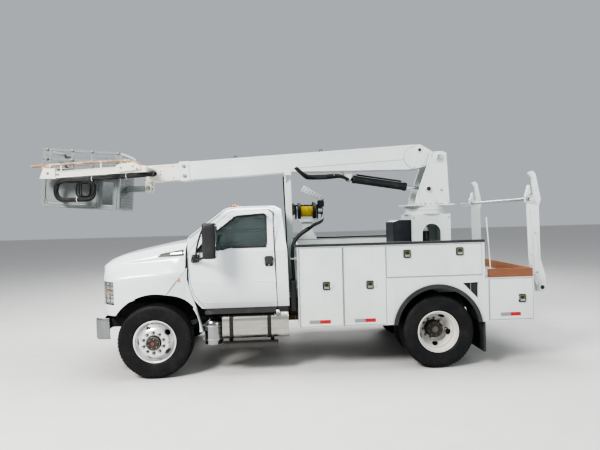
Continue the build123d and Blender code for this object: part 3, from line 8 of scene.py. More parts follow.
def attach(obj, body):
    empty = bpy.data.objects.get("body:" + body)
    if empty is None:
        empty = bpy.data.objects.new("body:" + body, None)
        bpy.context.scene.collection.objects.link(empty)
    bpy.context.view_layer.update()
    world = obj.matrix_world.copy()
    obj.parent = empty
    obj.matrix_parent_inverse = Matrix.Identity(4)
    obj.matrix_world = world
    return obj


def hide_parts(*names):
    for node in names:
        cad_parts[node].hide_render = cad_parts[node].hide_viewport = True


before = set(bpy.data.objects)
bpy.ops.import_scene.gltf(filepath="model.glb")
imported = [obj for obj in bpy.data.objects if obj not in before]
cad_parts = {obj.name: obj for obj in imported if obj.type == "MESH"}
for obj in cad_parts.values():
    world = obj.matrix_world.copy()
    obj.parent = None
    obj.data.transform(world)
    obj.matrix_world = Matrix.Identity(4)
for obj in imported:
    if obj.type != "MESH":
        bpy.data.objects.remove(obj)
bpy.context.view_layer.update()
print("frame loaded,", len(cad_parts), "nodes")

# Places are written as in the source: millimetres back from the front axle, to the right, and up.
axleX = -1.8905


def at(x, y, z):
    return Vector((axleX + x * 0.001, y * 0.001, z * 0.001))


class Wire:
    # shader maths: a socket that can be added, multiplied and compared like a number
    def __init__(self, recipe, socket):
        self.recipe = recipe
        self.socket = socket

    def maths(self, operation, *values, clamp=False):
        return self.recipe.add("ShaderNodeMath", {"operation": operation, "use_clamp": clamp},
                               dict(enumerate(values)))

    def __add__(self, other):
        return self.maths("ADD", self, other)

    def __radd__(self, other):
        return self.maths("ADD", other, self)

    def __sub__(self, other):
        return self.maths("SUBTRACT", self, other)

    def __rsub__(self, other):
        return self.maths("SUBTRACT", other, self)

    def __mul__(self, other):
        return self.maths("MULTIPLY", self, other)

    def __rmul__(self, other):
        return self.maths("MULTIPLY", other, self)

    def __truediv__(self, other):
        return self.maths("DIVIDE", self, other)

    def __pow__(self, other):
        return self.maths("POWER", self, other)

    def __lt__(self, other):
        return self.maths("LESS_THAN", self, other)

    def __gt__(self, other):
        return self.maths("GREATER_THAN", self, other)

    def __abs__(self):
        return self.maths("ABSOLUTE", self)

    def top(self, other):
        return self.maths("MAXIMUM", self, other)

    def low(self, other):
        return self.maths("MINIMUM", self, other)

    def ramp(self, start, end):
        # 0 before start, 1 after end, smooth between them
        return self.recipe.add("ShaderNodeMapRange", {"interpolation_type": "SMOOTHSTEP"},
                               {"Value": self, "From Min": start, "From Max": end})


class Recipe:
    # a material and the nodes that make it
    def __init__(self, name):
        self.material = bpy.data.materials.new(name)
        self.material.use_nodes = True
        self.tree = self.material.node_tree
        self.tree.nodes.clear()
        self.output = self.tree.nodes.new("ShaderNodeOutputMaterial")
        self.place = self.add("ShaderNodeTexCoord", out="Object")

    def add(self, kind, settings=None, sockets=None, out=0):
        node = self.tree.nodes.new(kind)
        for key, value in (settings or {}).items():
            if key == "stops":
                ramp = node.color_ramp.elements
                while len(ramp) < len(value):
                    ramp.new(1.0)
                for stop, (place, colour) in zip(ramp, value):
                    stop.position = place
                    stop.color = (*colour, 1)
            else:
                setattr(node, key, value)
        for key, value in (sockets or {}).items():
            self.join(node.inputs[key], value)
        return Wire(self, node.outputs[out])

    def join(self, socket, value):
        if isinstance(value, Wire):
            self.tree.links.new(value.socket, socket)
        elif isinstance(value, (tuple, list)) and len(value) == 3 and socket.type == "RGBA":
            socket.default_value = (*value, 1)
        else:
            socket.default_value = value

    def axes(self):
        node = self.tree.nodes.new("ShaderNodeSeparateXYZ")
        self.tree.links.new(self.place.socket, node.inputs[0])
        return [Wire(self, node.outputs[i]) for i in range(3)]

    def stretched(self, x, y, z):
        return self.add("ShaderNodeVectorMath", {"operation": "MULTIPLY"}, {0: self.place, 1: (x, y, z)})

    def noise(self, scale, detail=4, rough=0.55, vector=None):
        return self.add("ShaderNodeTexNoise", {},
                        {"Vector": vector or self.place, "Scale": scale, "Detail": detail,
                         "Roughness": rough})

    def blend(self, mask, first, second, way="MIX"):
        node = self.tree.nodes.new("ShaderNodeMix")
        node.data_type = "RGBA"
        node.blend_type = way
        self.join(node.inputs["Factor"], mask)
        self.join(node.inputs[6], first)
        self.join(node.inputs[7], second)
        return Wire(self, node.outputs[2])

    def bump(self, height, strength, distance=0.002):
        return self.add("ShaderNodeBump", {},
                        {"Height": height, "Strength": strength, "Distance": distance})

    def shade(self, **sockets):
        names = {key.replace("_", " "): value for key, value in sockets.items()}
        surface = self.add("ShaderNodeBsdfPrincipled", {}, names)
        self.tree.links.new(surface.socket, self.output.inputs["Surface"])
        return self.material


# Finishes
def dustyPaint(name, colour, rough=0.32, dust=(0.42, 0.38, 0.31), dustTop=1.0, dustAmount=0.5, streaks=0.25,
               streakColour=(0.40, 0.36, 0.29), rust=0.0, peel=0.04, coat=0.35):
    # painted metal with road dust low down, runs of dirt and spots of rust
    r = Recipe(name)
    z = r.axes()[2]
    cloud = r.noise(1.7, 5)
    grain = r.noise(46, 5, 0.65)
    runs = r.noise(1.0, 6, 0.6, r.stretched(9, 9, 0.7))
    fine = r.noise(1.0, 4, 0.6, r.stretched(60, 60, 3.2))
    tone = r.blend(cloud.ramp(0.35, 0.7), colour, tuple(c * 0.93 for c in colour))
    streakMask = runs.ramp(0.52, 0.74) * fine.ramp(0.35, 0.7) * streaks
    tone = r.blend(streakMask, tone, streakColour)
    low = (1 - z.ramp(dustTop * 0.25, dustTop)) * (0.35 + 0.65 * cloud) * dustAmount
    low = low + grain.ramp(0.6, 0.85) * dustAmount * 0.18
    tone = r.blend(low, tone, dust)
    if rust:
        spots = (r.noise(5.5, 6, 0.7) * 0.6 + grain * 0.4).ramp(0.64 - rust * 0.18, 0.72 - rust * 0.12)
        tone = r.blend(spots * 0.85, tone, (0.23, 0.095, 0.035))
        low = low + spots
    gloss = rough + low * 0.42 + streakMask * 0.3 + grain * 0.05
    return r.shade(Base_Color=tone, Roughness=gloss, Coat_Weight=(coat * (1 - low)).top(0.0),
                   Coat_Roughness=0.08, Normal=r.bump(grain, peel))


def bareMetal(name, colour, rough=0.3, metallic=1.0, brush=(3, 3, 120), stain=0.3,
              stainColour=(0.30, 0.26, 0.21), grainDepth=0.12):
    # brushed or rolled metal with oxide stains
    r = Recipe(name)
    lines = r.noise(1.0, 5, 0.7, r.stretched(*brush))
    cloud = r.noise(4.5, 6, 0.65)
    spots = r.noise(38, 4, 0.6)
    mask = (cloud * 0.7 + spots * 0.3).ramp(0.5, 0.66) * stain
    tone = r.blend(lines.ramp(0.3, 0.75), colour, tuple(c * 0.78 for c in colour))
    tone = r.blend(mask, tone, stainColour)
    return r.shade(Base_Color=tone, Metallic=(metallic - mask * 0.8).top(0.0),
                   Roughness=rough + lines * 0.12 + mask * 0.35, Normal=r.bump(lines, grainDepth))


def rubber(name, colour=(0.016, 0.0165, 0.018), dust=(0.11, 0.10, 0.088), dustAmount=0.3, rough=0.62):
    r = Recipe(name)
    cloud = r.noise(6, 6, 0.6)
    grain = r.noise(220, 3, 0.6)
    pits = r.noise(30, 5, 0.7)
    mask = (cloud * 0.6 + pits * 0.4).ramp(0.42, 0.7) * dustAmount
    tone = r.blend(mask, colour, dust)
    return r.shade(Base_Color=tone, Roughness=rough + mask * 0.2 - grain * 0.06,
                   Normal=r.bump(grain * 0.5 + pits * 0.5, 0.16), Specular_IOR_Level=0.28)


def plastic(name, colour, rough=0.45, texture=160, fade=0.2):
    # moulded plastic: fine leather grain, sun-faded patches
    r = Recipe(name)
    grain = r.add("ShaderNodeTexVoronoi", {"feature": "SMOOTH_F1"}, {"Vector": r.place, "Scale": texture})
    cloud = r.noise(3.2, 5, 0.6)
    pale = tuple(min(1, c + 0.10) for c in colour)
    tone = r.blend(cloud.ramp(0.4, 0.75) * fade, colour, pale)
    return r.shade(Base_Color=tone, Roughness=rough + cloud * 0.16, Normal=r.bump(grain, 0.1, 0.0006))


def glassPane(name, colour, depth=0.85):
    # tinted pane with a film of dust
    r = Recipe(name)
    film = r.noise(2.4, 6, 0.6)
    wipes = r.noise(1.0, 4, 0.6, r.stretched(3, 3, 30))
    tone = r.blend(film.ramp(0.45, 0.8) * 0.25, colour, (0.5, 0.5, 0.46))
    return r.shade(Base_Color=tone, Roughness=0.03 + wipes.ramp(0.5, 0.9) * 0.08, Transmission_Weight=depth,
                   IOR=1.45)


def lens(name, colour, ribs=150):
    # moulded lamp lens: ribs inside clear or coloured plastic
    r = Recipe(name)
    y, z = r.axes()[1:]
    rib = abs((z * ribs).maths("FRACT", z * ribs) - 0.5)
    rib = rib + abs((y * ribs).maths("FRACT", y * ribs) - 0.5)
    cloud = r.noise(30, 4)
    tone = r.blend(rib.ramp(0.2, 0.8), tuple(c * 0.62 for c in colour), colour)
    tone = r.blend(cloud.ramp(0.55, 0.8) * 0.25, tone, (0.55, 0.5, 0.42))
    return r.shade(Base_Color=tone, Roughness=0.12 + cloud * 0.1, Coat_Weight=0.8, Coat_Roughness=0.05,
                   Normal=r.bump(rib, 0.35, 0.0015))


def woodBoard(name):
    r = Recipe(name)
    warp = r.noise(3.5, 4)
    grain = r.add("ShaderNodeTexWave", {"wave_type": "BANDS", "bands_direction": "Z",
                                        "wave_profile": "SAW"}, {"Vector": r.stretched(1.2, 1.2, 26),
                                                                 "Scale": 2.4, "Distortion": 7.5,
                                                                 "Detail": 4, "Detail Scale": 1.6})
    fibre = r.noise(1.0, 6, 0.7, r.stretched(14, 14, 240))
    tone = r.add("ShaderNodeValToRGB", {"stops": ((0.0, (0.12, 0.045, 0.022)), (0.45, (0.23, 0.095, 0.048)),
                                                  (1.0, (0.33, 0.15, 0.08)))},
                 {"Fac": grain * 0.5 + fibre * 0.3 + warp * 0.25})
    grey = r.noise(7, 5).ramp(0.55, 0.75) * 0.35
    tone = r.blend(grey, tone, (0.26, 0.20, 0.16))
    return r.shade(Base_Color=tone, Roughness=0.62 + fibre * 0.2,
                   Normal=r.bump(fibre * 0.6 + grain * 0.4, 0.35))


def cloth(name, colour):
    r = Recipe(name)
    weave = r.add("ShaderNodeTexBrick", {"offset": 0.5},
                  {"Vector": r.place, "Scale": 240.0, "Mortar Size": 0.06}, out="Fac")
    cloud = r.noise(9, 5)
    tone = r.blend(cloud.ramp(0.4, 0.7), colour, tuple(c * 0.7 for c in colour))
    return r.shade(Base_Color=tone, Roughness=0.86 - weave * 0.06, Normal=r.bump(weave, 0.3),
                   Sheen_Weight=0.4)


def ropeYarn(name, colour):
    r = Recipe(name)
    lay = r.add("ShaderNodeTexWave", {"bands_direction": "DIAGONAL"},
                {"Vector": r.place, "Scale": 60, "Distortion": 1.5, "Detail": 2})
    cloud = r.noise(22, 5)
    tone = r.blend(lay.ramp(0.2, 0.9), tuple(c * 0.55 for c in colour), colour)
    tone = r.blend(cloud.ramp(0.5, 0.75) * 0.4, tone, (0.34, 0.30, 0.2))
    return r.shade(Base_Color=tone, Roughness=0.8 + cloud * 0.1, Normal=r.bump(lay, 0.6))


def reflectorTape(name, colour):
    # retroreflecting tape with its honeycomb cells
    r = Recipe(name)
    cells = r.add("ShaderNodeTexVoronoi", {}, {"Vector": r.place, "Scale": 170})
    tone = r.blend(cells.ramp(0.1, 0.6), colour, tuple(c * 0.8 for c in colour))
    tone = r.blend(r.noise(40, 4).ramp(0.55, 0.8) * 0.4, tone, (0.3, 0.27, 0.22))
    return r.shade(Base_Color=tone, Roughness=0.25 + cells * 0.3, Normal=r.bump(cells, 0.2, 0.0005))


whiteCab = dustyPaint("whiteCabPaint", (0.73, 0.77, 0.78), rough=0.22, dust=(0.34, 0.34, 0.33),
                      dustTop=1.55, dustAmount=0.46, streaks=0.1, coat=0.5)
whiteBody = dustyPaint("whiteBodyPaint", (0.66, 0.71, 0.69), rough=0.34, dustTop=1.3, dustAmount=0.42,
                       streaks=0.30, rust=0.06, coat=0.25)
creamBoom = dustyPaint("creamBoomPaint", (0.70, 0.69, 0.61), rough=0.4, dustTop=0.2, dustAmount=0.2,
                       streaks=0.3, streakColour=(0.46, 0.36, 0.24), rust=0.08, coat=0.15)
whiteBoom = dustyPaint("whiteBoomPaint", (0.66, 0.71, 0.68), rough=0.36, dustTop=0.2, dustAmount=0.25,
                       streaks=0.32, rust=0.05, coat=0.2)
frameBlack = dustyPaint("frameBlackPaint", (0.016, 0.016, 0.018), rough=0.5, dust=(0.10, 0.09, 0.075),
                        dustTop=1.3, dustAmount=0.4, streaks=0.2, rust=0.12, coat=0.0)
bumperChrome = bareMetal("bumperChrome", (0.30, 0.31, 0.33), rough=0.08, brush=(6, 6, 6), stain=0.25,
                         grainDepth=0.01)
wheelBright = bareMetal("wheelBrightMetal", (0.88, 0.88, 0.88), rough=0.26, metallic=0.75, brush=(4, 4, 4),
                        stain=0.12, grainDepth=0.01)
wheelWhite = dustyPaint("wheelWhitePaint", (0.72, 0.72, 0.69), rough=0.38, dustTop=1.1, dustAmount=0.5,
                        streaks=0.3, rust=0.05, coat=0.2)
hubOlive = dustyPaint("hubOlivePaint", (0.022, 0.019, 0.016), rough=0.6, dust=(0.075, 0.058, 0.036),
                      dustTop=1.2, dustAmount=0.35, rust=0.15, coat=0.0)
hubRed = dustyPaint("hubRedPaint", (0.24, 0.012, 0.03), rough=0.4, dustAmount=0.12, coat=0.2)
tyreRubber = rubber("tyreRubber", (0.012, 0.0125, 0.014), (0.06, 0.055, 0.05), dustAmount=0.4)
blackRubber = rubber("blackRubberTrim", (0.03, 0.03, 0.031), dustAmount=0.3)
blackPlastic = plastic("blackMouldedPlastic", (0.025, 0.025, 0.027), rough=0.42)
railGrey = plastic("darkRailGrey", (0.03, 0.031, 0.034), rough=0.5, fade=0.2)
dashPlastic = plastic("dashPlastic", (0.10, 0.10, 0.105), rough=0.6, texture=320)
reservoirPlastic = plastic("reservoirPlastic", (0.011, 0.012, 0.017), rough=0.38)
seatCloth = cloth("seatCloth", (0.14, 0.135, 0.13))
paneGlass = glassPane("cabPaneGlass", (0.30, 0.37, 0.36))
clearLens = lens("clearLampLens", (0.82, 0.84, 0.84))
amberLens = lens("amberLampLens", (0.85, 0.27, 0.02))
redLens = lens("redLampLens", (0.55, 0.02, 0.015))
tankMetal = bareMetal("tankAluminium", (0.50, 0.50, 0.47), rough=0.28, brush=(2, 40, 40), stain=0.5,
                      stainColour=(0.36, 0.31, 0.23))
brightCan = bareMetal("canisterMetal", (0.36, 0.36, 0.36), rough=0.12, brush=(30, 30, 3), stain=0.5)
oldBoard = woodBoard("oldBoardWood")
engineIron = dustyPaint("engineIron", (0.07, 0.07, 0.07), rough=0.6, rust=0.2, coat=0.0)
platformGrey = dustyPaint("platformGelcoat", (0.21, 0.23, 0.23), rough=0.36, dust=(0.3, 0.27, 0.22),
                          dustTop=2.75, dustAmount=0.22, streaks=0.35, streakColour=(0.25, 0.22, 0.18),
                          coat=0.15, peel=0.08)
# dark grey for the platform's floor treads, and painted shadow lines between the louvres of its rear face
darkTreadsAndSlatShadow = dustyPaint("platformTreadsAndSlatShadow", (0.10, 0.11, 0.11), rough=0.6, streaks=0.4, dustTop=2.7,
                          dustAmount=0.3, coat=0.0)
bareSteel = bareMetal("bareSteel", (0.50, 0.50, 0.49), rough=0.32, stain=0.35)
rodWorn = dustyPaint("wornRodPaint", (0.70, 0.64, 0.56), rough=0.5, streaks=0.4,
                     streakColour=(0.45, 0.22, 0.12), rust=1.5, coat=0.05)
rustyCream = dustyPaint("rustyCreamPaint", (0.66, 0.62, 0.53), rough=0.5, streaks=0.5,
                        streakColour=(0.42, 0.24, 0.13), rust=1.45, coat=0.05)
rodChrome = bareMetal("rodChrome", (0.78, 0.78, 0.79), rough=0.1, stain=0.1, grainDepth=0.02)
rustySteel = bareMetal("rustySteel", (0.26, 0.17, 0.12), rough=0.6, metallic=0.55, brush=(12, 12, 12),
                       stain=0.9, stainColour=(0.24, 0.085, 0.03), grainDepth=0.4)
hoseRubber = rubber("hoseRubber", (0.02, 0.02, 0.021), dustAmount=0.2, rough=0.5)
lightenedGapSeal = plastic("lightenedGapSeal", (0.34, 0.35, 0.35), rough=0.7)
seamShadow = plastic("seamShadow", (0.20, 0.21, 0.20), rough=0.7)
whiteTie = plastic("whiteCableTie", (0.75, 0.75, 0.72), rough=0.4)
yellowRope = ropeYarn("yellowRope", (0.80, 0.60, 0.05))
tapeRed = reflectorTape("redTape", (0.55, 0.02, 0.03))
tapeSilver = reflectorTape("silverTape", (0.30, 0.31, 0.32))
stepGrip = dustyPaint("stepGripPaint", (0.03, 0.03, 0.032), rough=0.6, dust=(0.13, 0.12, 0.10), dustTop=1.2,
                      dustAmount=0.45, rust=0.1, coat=0.0, peel=0.3)
bedPlate = bareMetal("bedTreadPlate", (0.50, 0.50, 0.48), rough=0.4, brush=(5, 5, 5), stain=0.6,
                     stainColour=(0.24, 0.20, 0.15), grainDepth=0.15)
lockerTopDark = rubber("lockerTopDarkSheet", (0.028, 0.03, 0.033), dust=(0.09, 0.09, 0.085), dustAmount=0.25, rough=0.7)
print("materials ready")


def pair(way, a, b):
    # two distances from the middle on one side, in rising order
    return sorted((way * a, way * b))


def oblong(a, b, c, d):
    # corners of a rectangle from a to b and from c to d
    return [(a, c), (b, c), (b, d), (a, d)]


def turns(count, start=0):
    # cosine and sine of even steps round a circle
    angles = [2 * pi * i / count + start for i in range(count)]
    return [(cos(a), sin(a)) for a in angles]


class Maker:
    # collects the faces of one piece, in any of a few finishes
    def __init__(self, name):
        self.name = name
        self.mesh = bmesh.new()
        self.finishes = []
        self.now = 0

    def use(self, finish):
        if finish not in self.finishes:
            self.finishes.append(finish)
        self.now = self.finishes.index(finish)
        return self

    def faces(self, points, polygons):
        verts = [self.mesh.verts.new(p) for p in points]
        made = []
        for polygon in polygons:
            face = self.mesh.faces.new([verts[i] for i in polygon])
            face.material_index = self.now
            made.append(face)
        return made

    def softened(self, made, edge, rounds=2, angle=25):
        # bevels the sharp edges of the faces just made, edge in millimetres
        if edge:
            self.mesh.normal_update()
            edges = [e for f in made for e in f.edges if e.calc_face_angle(0) > radians(angle)]
            bmesh.ops.bevel(self.mesh, geom=list(dict.fromkeys(edges)), offset=edge * 0.001,
                            segments=rounds, affect="EDGES", clamp_overlap=True, material=self.now)
        return self

    def block(self, x, y, z, edge=3, rounds=2):
        corners = [at(a, b, c) for c in z for b in y for a in x]
        made = self.faces(corners, [(0, 2, 3, 1), (4, 5, 7, 6), (0, 1, 5, 4),
                                    (2, 6, 7, 3), (0, 4, 6, 2), (1, 3, 7, 5)])
        return self.softened(made, edge, rounds)

    def prism(self, low, high, edge=3, rounds=2):
        # two outlines with the same number of points, joined all round
        n = len(low)
        made = self.faces(list(low) + list(high),
                          [tuple(reversed(range(n))), tuple(range(n, 2 * n))]
                          + [(i, (i + 1) % n, n + (i + 1) % n, n + i) for i in range(n)])
        bmesh.ops.recalc_face_normals(self.mesh, faces=made)
        return self.softened(made, edge, rounds)

    def sidePlate(self, outline, y, edge=3, rounds=2):
        return self.prism([at(a, y[0], b) for a, b in outline], [at(a, y[1], b) for a, b in outline], edge,
                          rounds)

    def planPlate(self, outline, z, edge=3, rounds=2):
        return self.prism([at(a, b, z[0]) for a, b in outline], [at(a, b, z[1]) for a, b in outline], edge,
                          rounds)

    def facePlate(self, outline, x, edge=3, rounds=2):
        return self.prism([at(x[0], a, b) for a, b in outline], [at(x[1], a, b) for a, b in outline], edge,
                          rounds)

    def ring(self, points):
        return [self.mesh.verts.new(p) for p in points]

    def loft(self, rings, loop=False, turned=False, caps=(), around=True):
        # joins rings of the same number of vertices, caps lists the end faces
        made = []
        follow = rings[1:] + ([rings[0]] if loop else [])
        for a, b in zip(rings, follow):
            for i in range(len(a) if around else len(a) - 1):
                j = (i + 1) % len(a)
                made.append((a[i], b[i], b[j], a[j]) if turned else (a[i], a[j], b[j], b[i]))
        for corners in made + list(caps):
            self.mesh.faces.new(corners).material_index = self.now
        return self

    def lathe(self, rows, centre, axis, steps=48, closed=True):
        # rows of (distance along the axis, radius) in millimetres, turned about it
        axis = Vector(axis).normalized()
        side = axis.orthogonal().normalized()
        up = axis.cross(side)
        rings = [self.ring([centre + axis * along * 0.001 + (side * c + up * s) * radius * 0.001
                            for c, s in turns(steps)]) for along, radius in rows]
        caps = (rings[0][::-1], rings[-1]) if closed is True else ()
        return self.loft(rings, loop=closed == "loop", caps=caps)

    def tube(self, points, radius, sides=12, flat=1.0, closed=False):
        # round bar or hose along points given as vectors, radius in millimetres
        points = [Vector(p) for p in points]
        count = len(points)
        rings = []
        normal = None
        for i, p in enumerate(points):
            way = Vector()
            if i < count - 1 or closed:
                way += (points[(i + 1) % count] - p).normalized()
            if i or closed:
                way += (p - points[i - 1]).normalized()
            way.normalize()
            if normal is None:
                normal = way.orthogonal().normalized()
                if abs(way.y) < 0.9:
                    normal = way.cross(Vector((0, 1, 0))).normalized()
            normal = (normal - way * normal.dot(way)).normalized()
            other = way.cross(normal)
            r = (radius[i] if isinstance(radius, (list, tuple)) else radius) * 0.001
            rings.append(self.ring([p + (normal * c * flat + other * s) * r for c, s in turns(sides)]))
        caps = () if closed else (rings[0], rings[-1][::-1])
        return self.loft(rings, loop=closed, turned=True, caps=caps)

    def clamp(self, centre, axis, half, inner, outer, steps):
        # a flat band round a bar or a drum
        return self.lathe([(-half, inner), (-half, outer), (half, outer), (half, inner)], centre, axis,
                          steps, closed="loop")

    def bar(self, places, radius, sides=12):
        return self.tube([at(*p) for p in places], radius, sides)

    def hose(self, places, steps, radius, sides=12):
        # a tube on a smooth line through (x, y, z) places in millimetres
        return self.tube(curved([at(*p) for p in places], steps), radius, sides)

    def bolt(self, centre, axis, radius=9, tall=7, washer=True):
        # hexagon head on a washer
        if washer:
            self.lathe([(0, radius * 1.45), (tall * 0.25, radius * 1.45)], centre, axis, 20)
        return self.lathe([(tall * 0.2, radius), (tall * 0.85, radius), (tall, radius * 0.82)], centre,
                          axis, 6)

    def done(self, body, smooth=35):
        data = bpy.data.meshes.new(self.name)
        bmesh.ops.recalc_face_normals(self.mesh, faces=self.mesh.faces[:])
        self.mesh.to_mesh(data)
        self.mesh.free()
        piece = bpy.data.objects.new(self.name, data)
        bpy.context.scene.collection.objects.link(piece)
        for made in self.finishes:
            data.materials.append(made)
        if body:
            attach(piece, body)
        smoothed(piece, smooth)
        return piece


def smoothed(piece, angle):
    # round shading, with a hard line where faces meet at more than the angle
    data = piece.data
    data.polygons.foreach_set("use_smooth", [True] * len(data.polygons))
    mesh = bmesh.new()
    mesh.from_mesh(data)
    for edge in mesh.edges:
        edge.smooth = edge.calc_face_angle(0) < radians(angle)
    mesh.to_mesh(data)
    mesh.free()


def curved(points, steps=6, closed=False):
    # smooth line through points
    pts = [Vector(p) for p in points]
    n = len(pts)
    made = []
    spans = n if closed else n - 1
    for i in range(spans):
        a = pts[i - 1] if i or closed else pts[0] * 2 - pts[1]
        b, c = pts[i], pts[(i + 1) % n]
        d = pts[(i + 2) % n] if i + 2 < n or closed else pts[-1] * 2 - pts[-2]
        for s in range(steps):
            t = s / steps
            made.append(0.5 * ((2 * b) + (c - a) * t + (2 * a - 5 * b + 4 * c - d) * t * t
                               + (3 * b - a - 3 * c + d) * t ** 3))
    if not closed:
        made.append(pts[-1])
    return made


def bodyFinish(node, finish, bevel=None, angle=30):
    # a CAD node keeps its shape and takes a finish
    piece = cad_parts[node]
    piece.data.materials.clear()
    piece.data.materials.append(finish)
    if bevel:
        rounder = piece.modifiers.new("softEdges", "BEVEL")
        rounder.width = bevel * 0.001
        rounder.segments = 2
        rounder.limit_method = "ANGLE"
        rounder.angle_limit = radians(angle)
        rounder.use_clamp_overlap = True
        rounder.harden_normals = True


class Skin:
    # the outer surface of one or more CAD nodes, to lay trim on
    def __init__(self, *nodes):
        points = []
        polygons = []
        for node in nodes:
            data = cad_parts[node].data if isinstance(node, str) else node.data
            start = len(points)
            points += [v.co.copy() for v in data.vertices]
            polygons += [[start + i for i in p.vertices] for p in data.polygons]
        self.tree = BVHTree.FromPolygons(points, polygons)

    def beside(self, x, z, way, proud=0.0, fallback=None):
        # the surface met from the left (way -1) or the right (way 1), x and z in millimetres
        start = at(x, way * 1600, z)
        place, normal = self.tree.ray_cast(start, Vector((0, -way, 0)))[:2]
        if place is None:
            return at(x, way * fallback, z) if fallback else None
        if normal.y * way < 0:
            normal = -normal
        return place + normal * proud * 0.001


def spaced(points, step=20):
    # more points along straight runs of (a, b) pairs, about a step apart
    made = []
    for (a, b), (c, d) in zip(points[:-1], points[1:]):
        count = max(1, round(hypot(c - a, d - b) / step))
        made += [(a + (c - a) * i / count, b + (d - b) * i / count) for i in range(count)]
    return made + [points[-1]]


def rounded(points, radius, steps=5):
    # outline with its corners rounded by arcs
    made = []
    n = len(points)
    for i in range(n):
        p = Vector(points[i])
        a = Vector(points[i - 1]) - p
        b = Vector(points[(i + 1) % n]) - p
        cut = min(radius, a.length * 0.48, b.length * 0.48)
        start = p + a.normalized() * cut
        end = p + b.normalized() * cut
        for s in range(steps + 1):
            t = s / steps
            q = start * (1 - t) ** 2 + p * 2 * t * (1 - t) + end * t ** 2
            made.append((q.x, q.y))
    return made


def carved(piece, cutters, way="DIFFERENCE"):
    # cuts the piece with closed shapes that are thrown away afterwards
    for cutter in cutters:
        cut = piece.modifiers.new("cut", "BOOLEAN")
        cut.object = cutter
        cut.operation = way
        cut.solver = "EXACT"
    bpy.context.view_layer.update()
    graph = bpy.context.evaluated_depsgraph_get()
    data = bpy.data.meshes.new_from_object(piece.evaluated_get(graph))
    piece.modifiers.clear()
    piece.data = data
    for cutter in cutters:
        bpy.data.objects.remove(cutter)
    return piece


bothSides = (("Left", "left", -1), ("Right", "right", 1))
print("makers ready")

# CAD nodes that keep their own shape
nodeFinishes = (
    # finish, softened edge in millimetres, nodes ({} stands for left and right)
    (frameBlack, 3, "frame_rails rear_axle knuckle_{} lift_barrel"),
    (frameBlack, 4, "front_axle cab_steps"),
    (wheelBright, 1.5, "front_rim_{}"), (wheelWhite, 1.5, "rear_rims_{}"),
    (tyreRubber, None, "front_tyre_{} rear_tyres_{}"), (bumperChrome, 9, "bumper"),
    (clearLens, 5, "headlamps"),
    (whiteCab, 6, "hood"), (blackPlastic, 3, "grille"), (engineIron, 12, "engine_block"),
    (whiteCab, 2, "cab_shell cab_door_{}"), (paneGlass, None, "cab_glass door_glass_{}"),
    (blackPlastic, 8, "mirror_{}"), (dashPlastic, 8, "dashboard"), (seatCloth, 20, "seats"),
    (tankMetal, 4, "fuel_tank"), (brightCan, 4, "canister"), (whiteBody, 3, "lockers_{} body_floor"),
    (whiteBody, 5, "locker_door_{}_1 locker_door_{}_2 locker_door_{}_3 locker_door_{}_4"),
    (whiteBody, 5, "pedestal reel_arms"),
    (whiteBody, 6, "boom_rest"), (whiteBody, 4, "winch"), (railGrey, 4, "body_trim"),
    (oldBoard, 3, "tail_boards"), (whiteBoom, 4, "turret boom_fittings"), (whiteBoom, 9, "outer_boom"),
    (creamBoom, 7, "inner_boom"), (creamBoom, 6, "side_arm"), (rodChrome, 2, "lift_rod"),
    (platformGrey, 7, "platform"), (hoseRubber, 2, "hose_loop"), (reservoirPlastic, 14, "reservoir"),
    (bareSteel, 3, "reel_spindle"), (amberLens, 6, "lamps"),
)
for finish, edge, names in nodeFinishes:
    for name in names.split():
        for node in sorted({name.format(end) for end in ("left", "right")}):
            bodyFinish(node, finish, edge)
print("node finishes set")

# Tyres: carcass with moulded rings, and a tread of five rows of blocks
tyreFacts = {"radius": 520, "groove": 15, "pitches": 62, "slant": 0.55,
             "rows": ((-116, -76), (-66, -26), (-19, 19), (26, 66), (76, 116))}


def tyreRows(facts):
    # (across, radius) pairs round the carcass, sidewalls with rings
    crown = facts["radius"] - facts["groove"]
    wall = [(92, 287), (99, 292), (105, 301), (113, 309), (121, 321), (124, 324), (127, 334), (127, 341),
            (131, 352), (135, 370), (138, 392), (139.4, 412), (139.4, 436), (138.2, 450), (139.3, 453),
            (139.3, 460), (136.6, 463), (134.5, 474), (131, 484), (127, 493), (120, 501), (110, crown),
            (70, crown + 1)]
    outer = wall + [(0, crown + 1)] + [(-a, r) for a, r in reversed(wall)]
    inner = [(-74, 297), (-112, 346), (-120, 455), (-96, 486), (96, 486), (120, 455), (112, 346), (74, 297)]
    return outer + inner


def treadBlocks(maker, centre, facts):
    low = facts["radius"] - facts["groove"] - 2
    high = facts["radius"] - 0.4
    pitch = 2 * pi / facts["pitches"]
    for r, (y0, y1) in enumerate(facts["rows"]):
        shoulder = r in (0, len(facts["rows"]) - 1)
        for i in range(facts["pitches"]):
            start = (i + 0.5 * (r % 2)) * pitch
            lean = facts["slant"] * pitch * (1 if r % 2 else -1) * (0.25 if shoulder else 1)
            gap = pitch * (0.15 if shoulder else 0.07)
            corners = []
            for radius in (low, high):
                for y, shift in ((y0, 0.0), (y1, lean)):
                    edge = radius
                    if shoulder and abs(y) > 100:
                        edge = radius - (9 if radius == high else 5)
                    for a in (start + gap + shift, start + pitch - gap + shift):
                        corners.append(centre + Vector((sin(a) * edge, y, cos(a) * edge)) * 0.001)
            maker.faces(corners, [(4, 5, 7, 6), (0, 1, 5, 4), (2, 6, 7, 3), (0, 4, 6, 2), (1, 3, 7, 5)])


def makeTyre(name, body, node, places):
    maker = Maker(name).use(tyreRubber)
    for x, y in places:
        centre = at(x, y, tyreFacts["radius"])
        maker.lathe(tyreRows(tyreFacts), centre, (0, 1, 0), 96, closed="loop")
        treadBlocks(maker, centre, tyreFacts)
    piece = maker.done(body, smooth=28)
    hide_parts(node)
    return piece


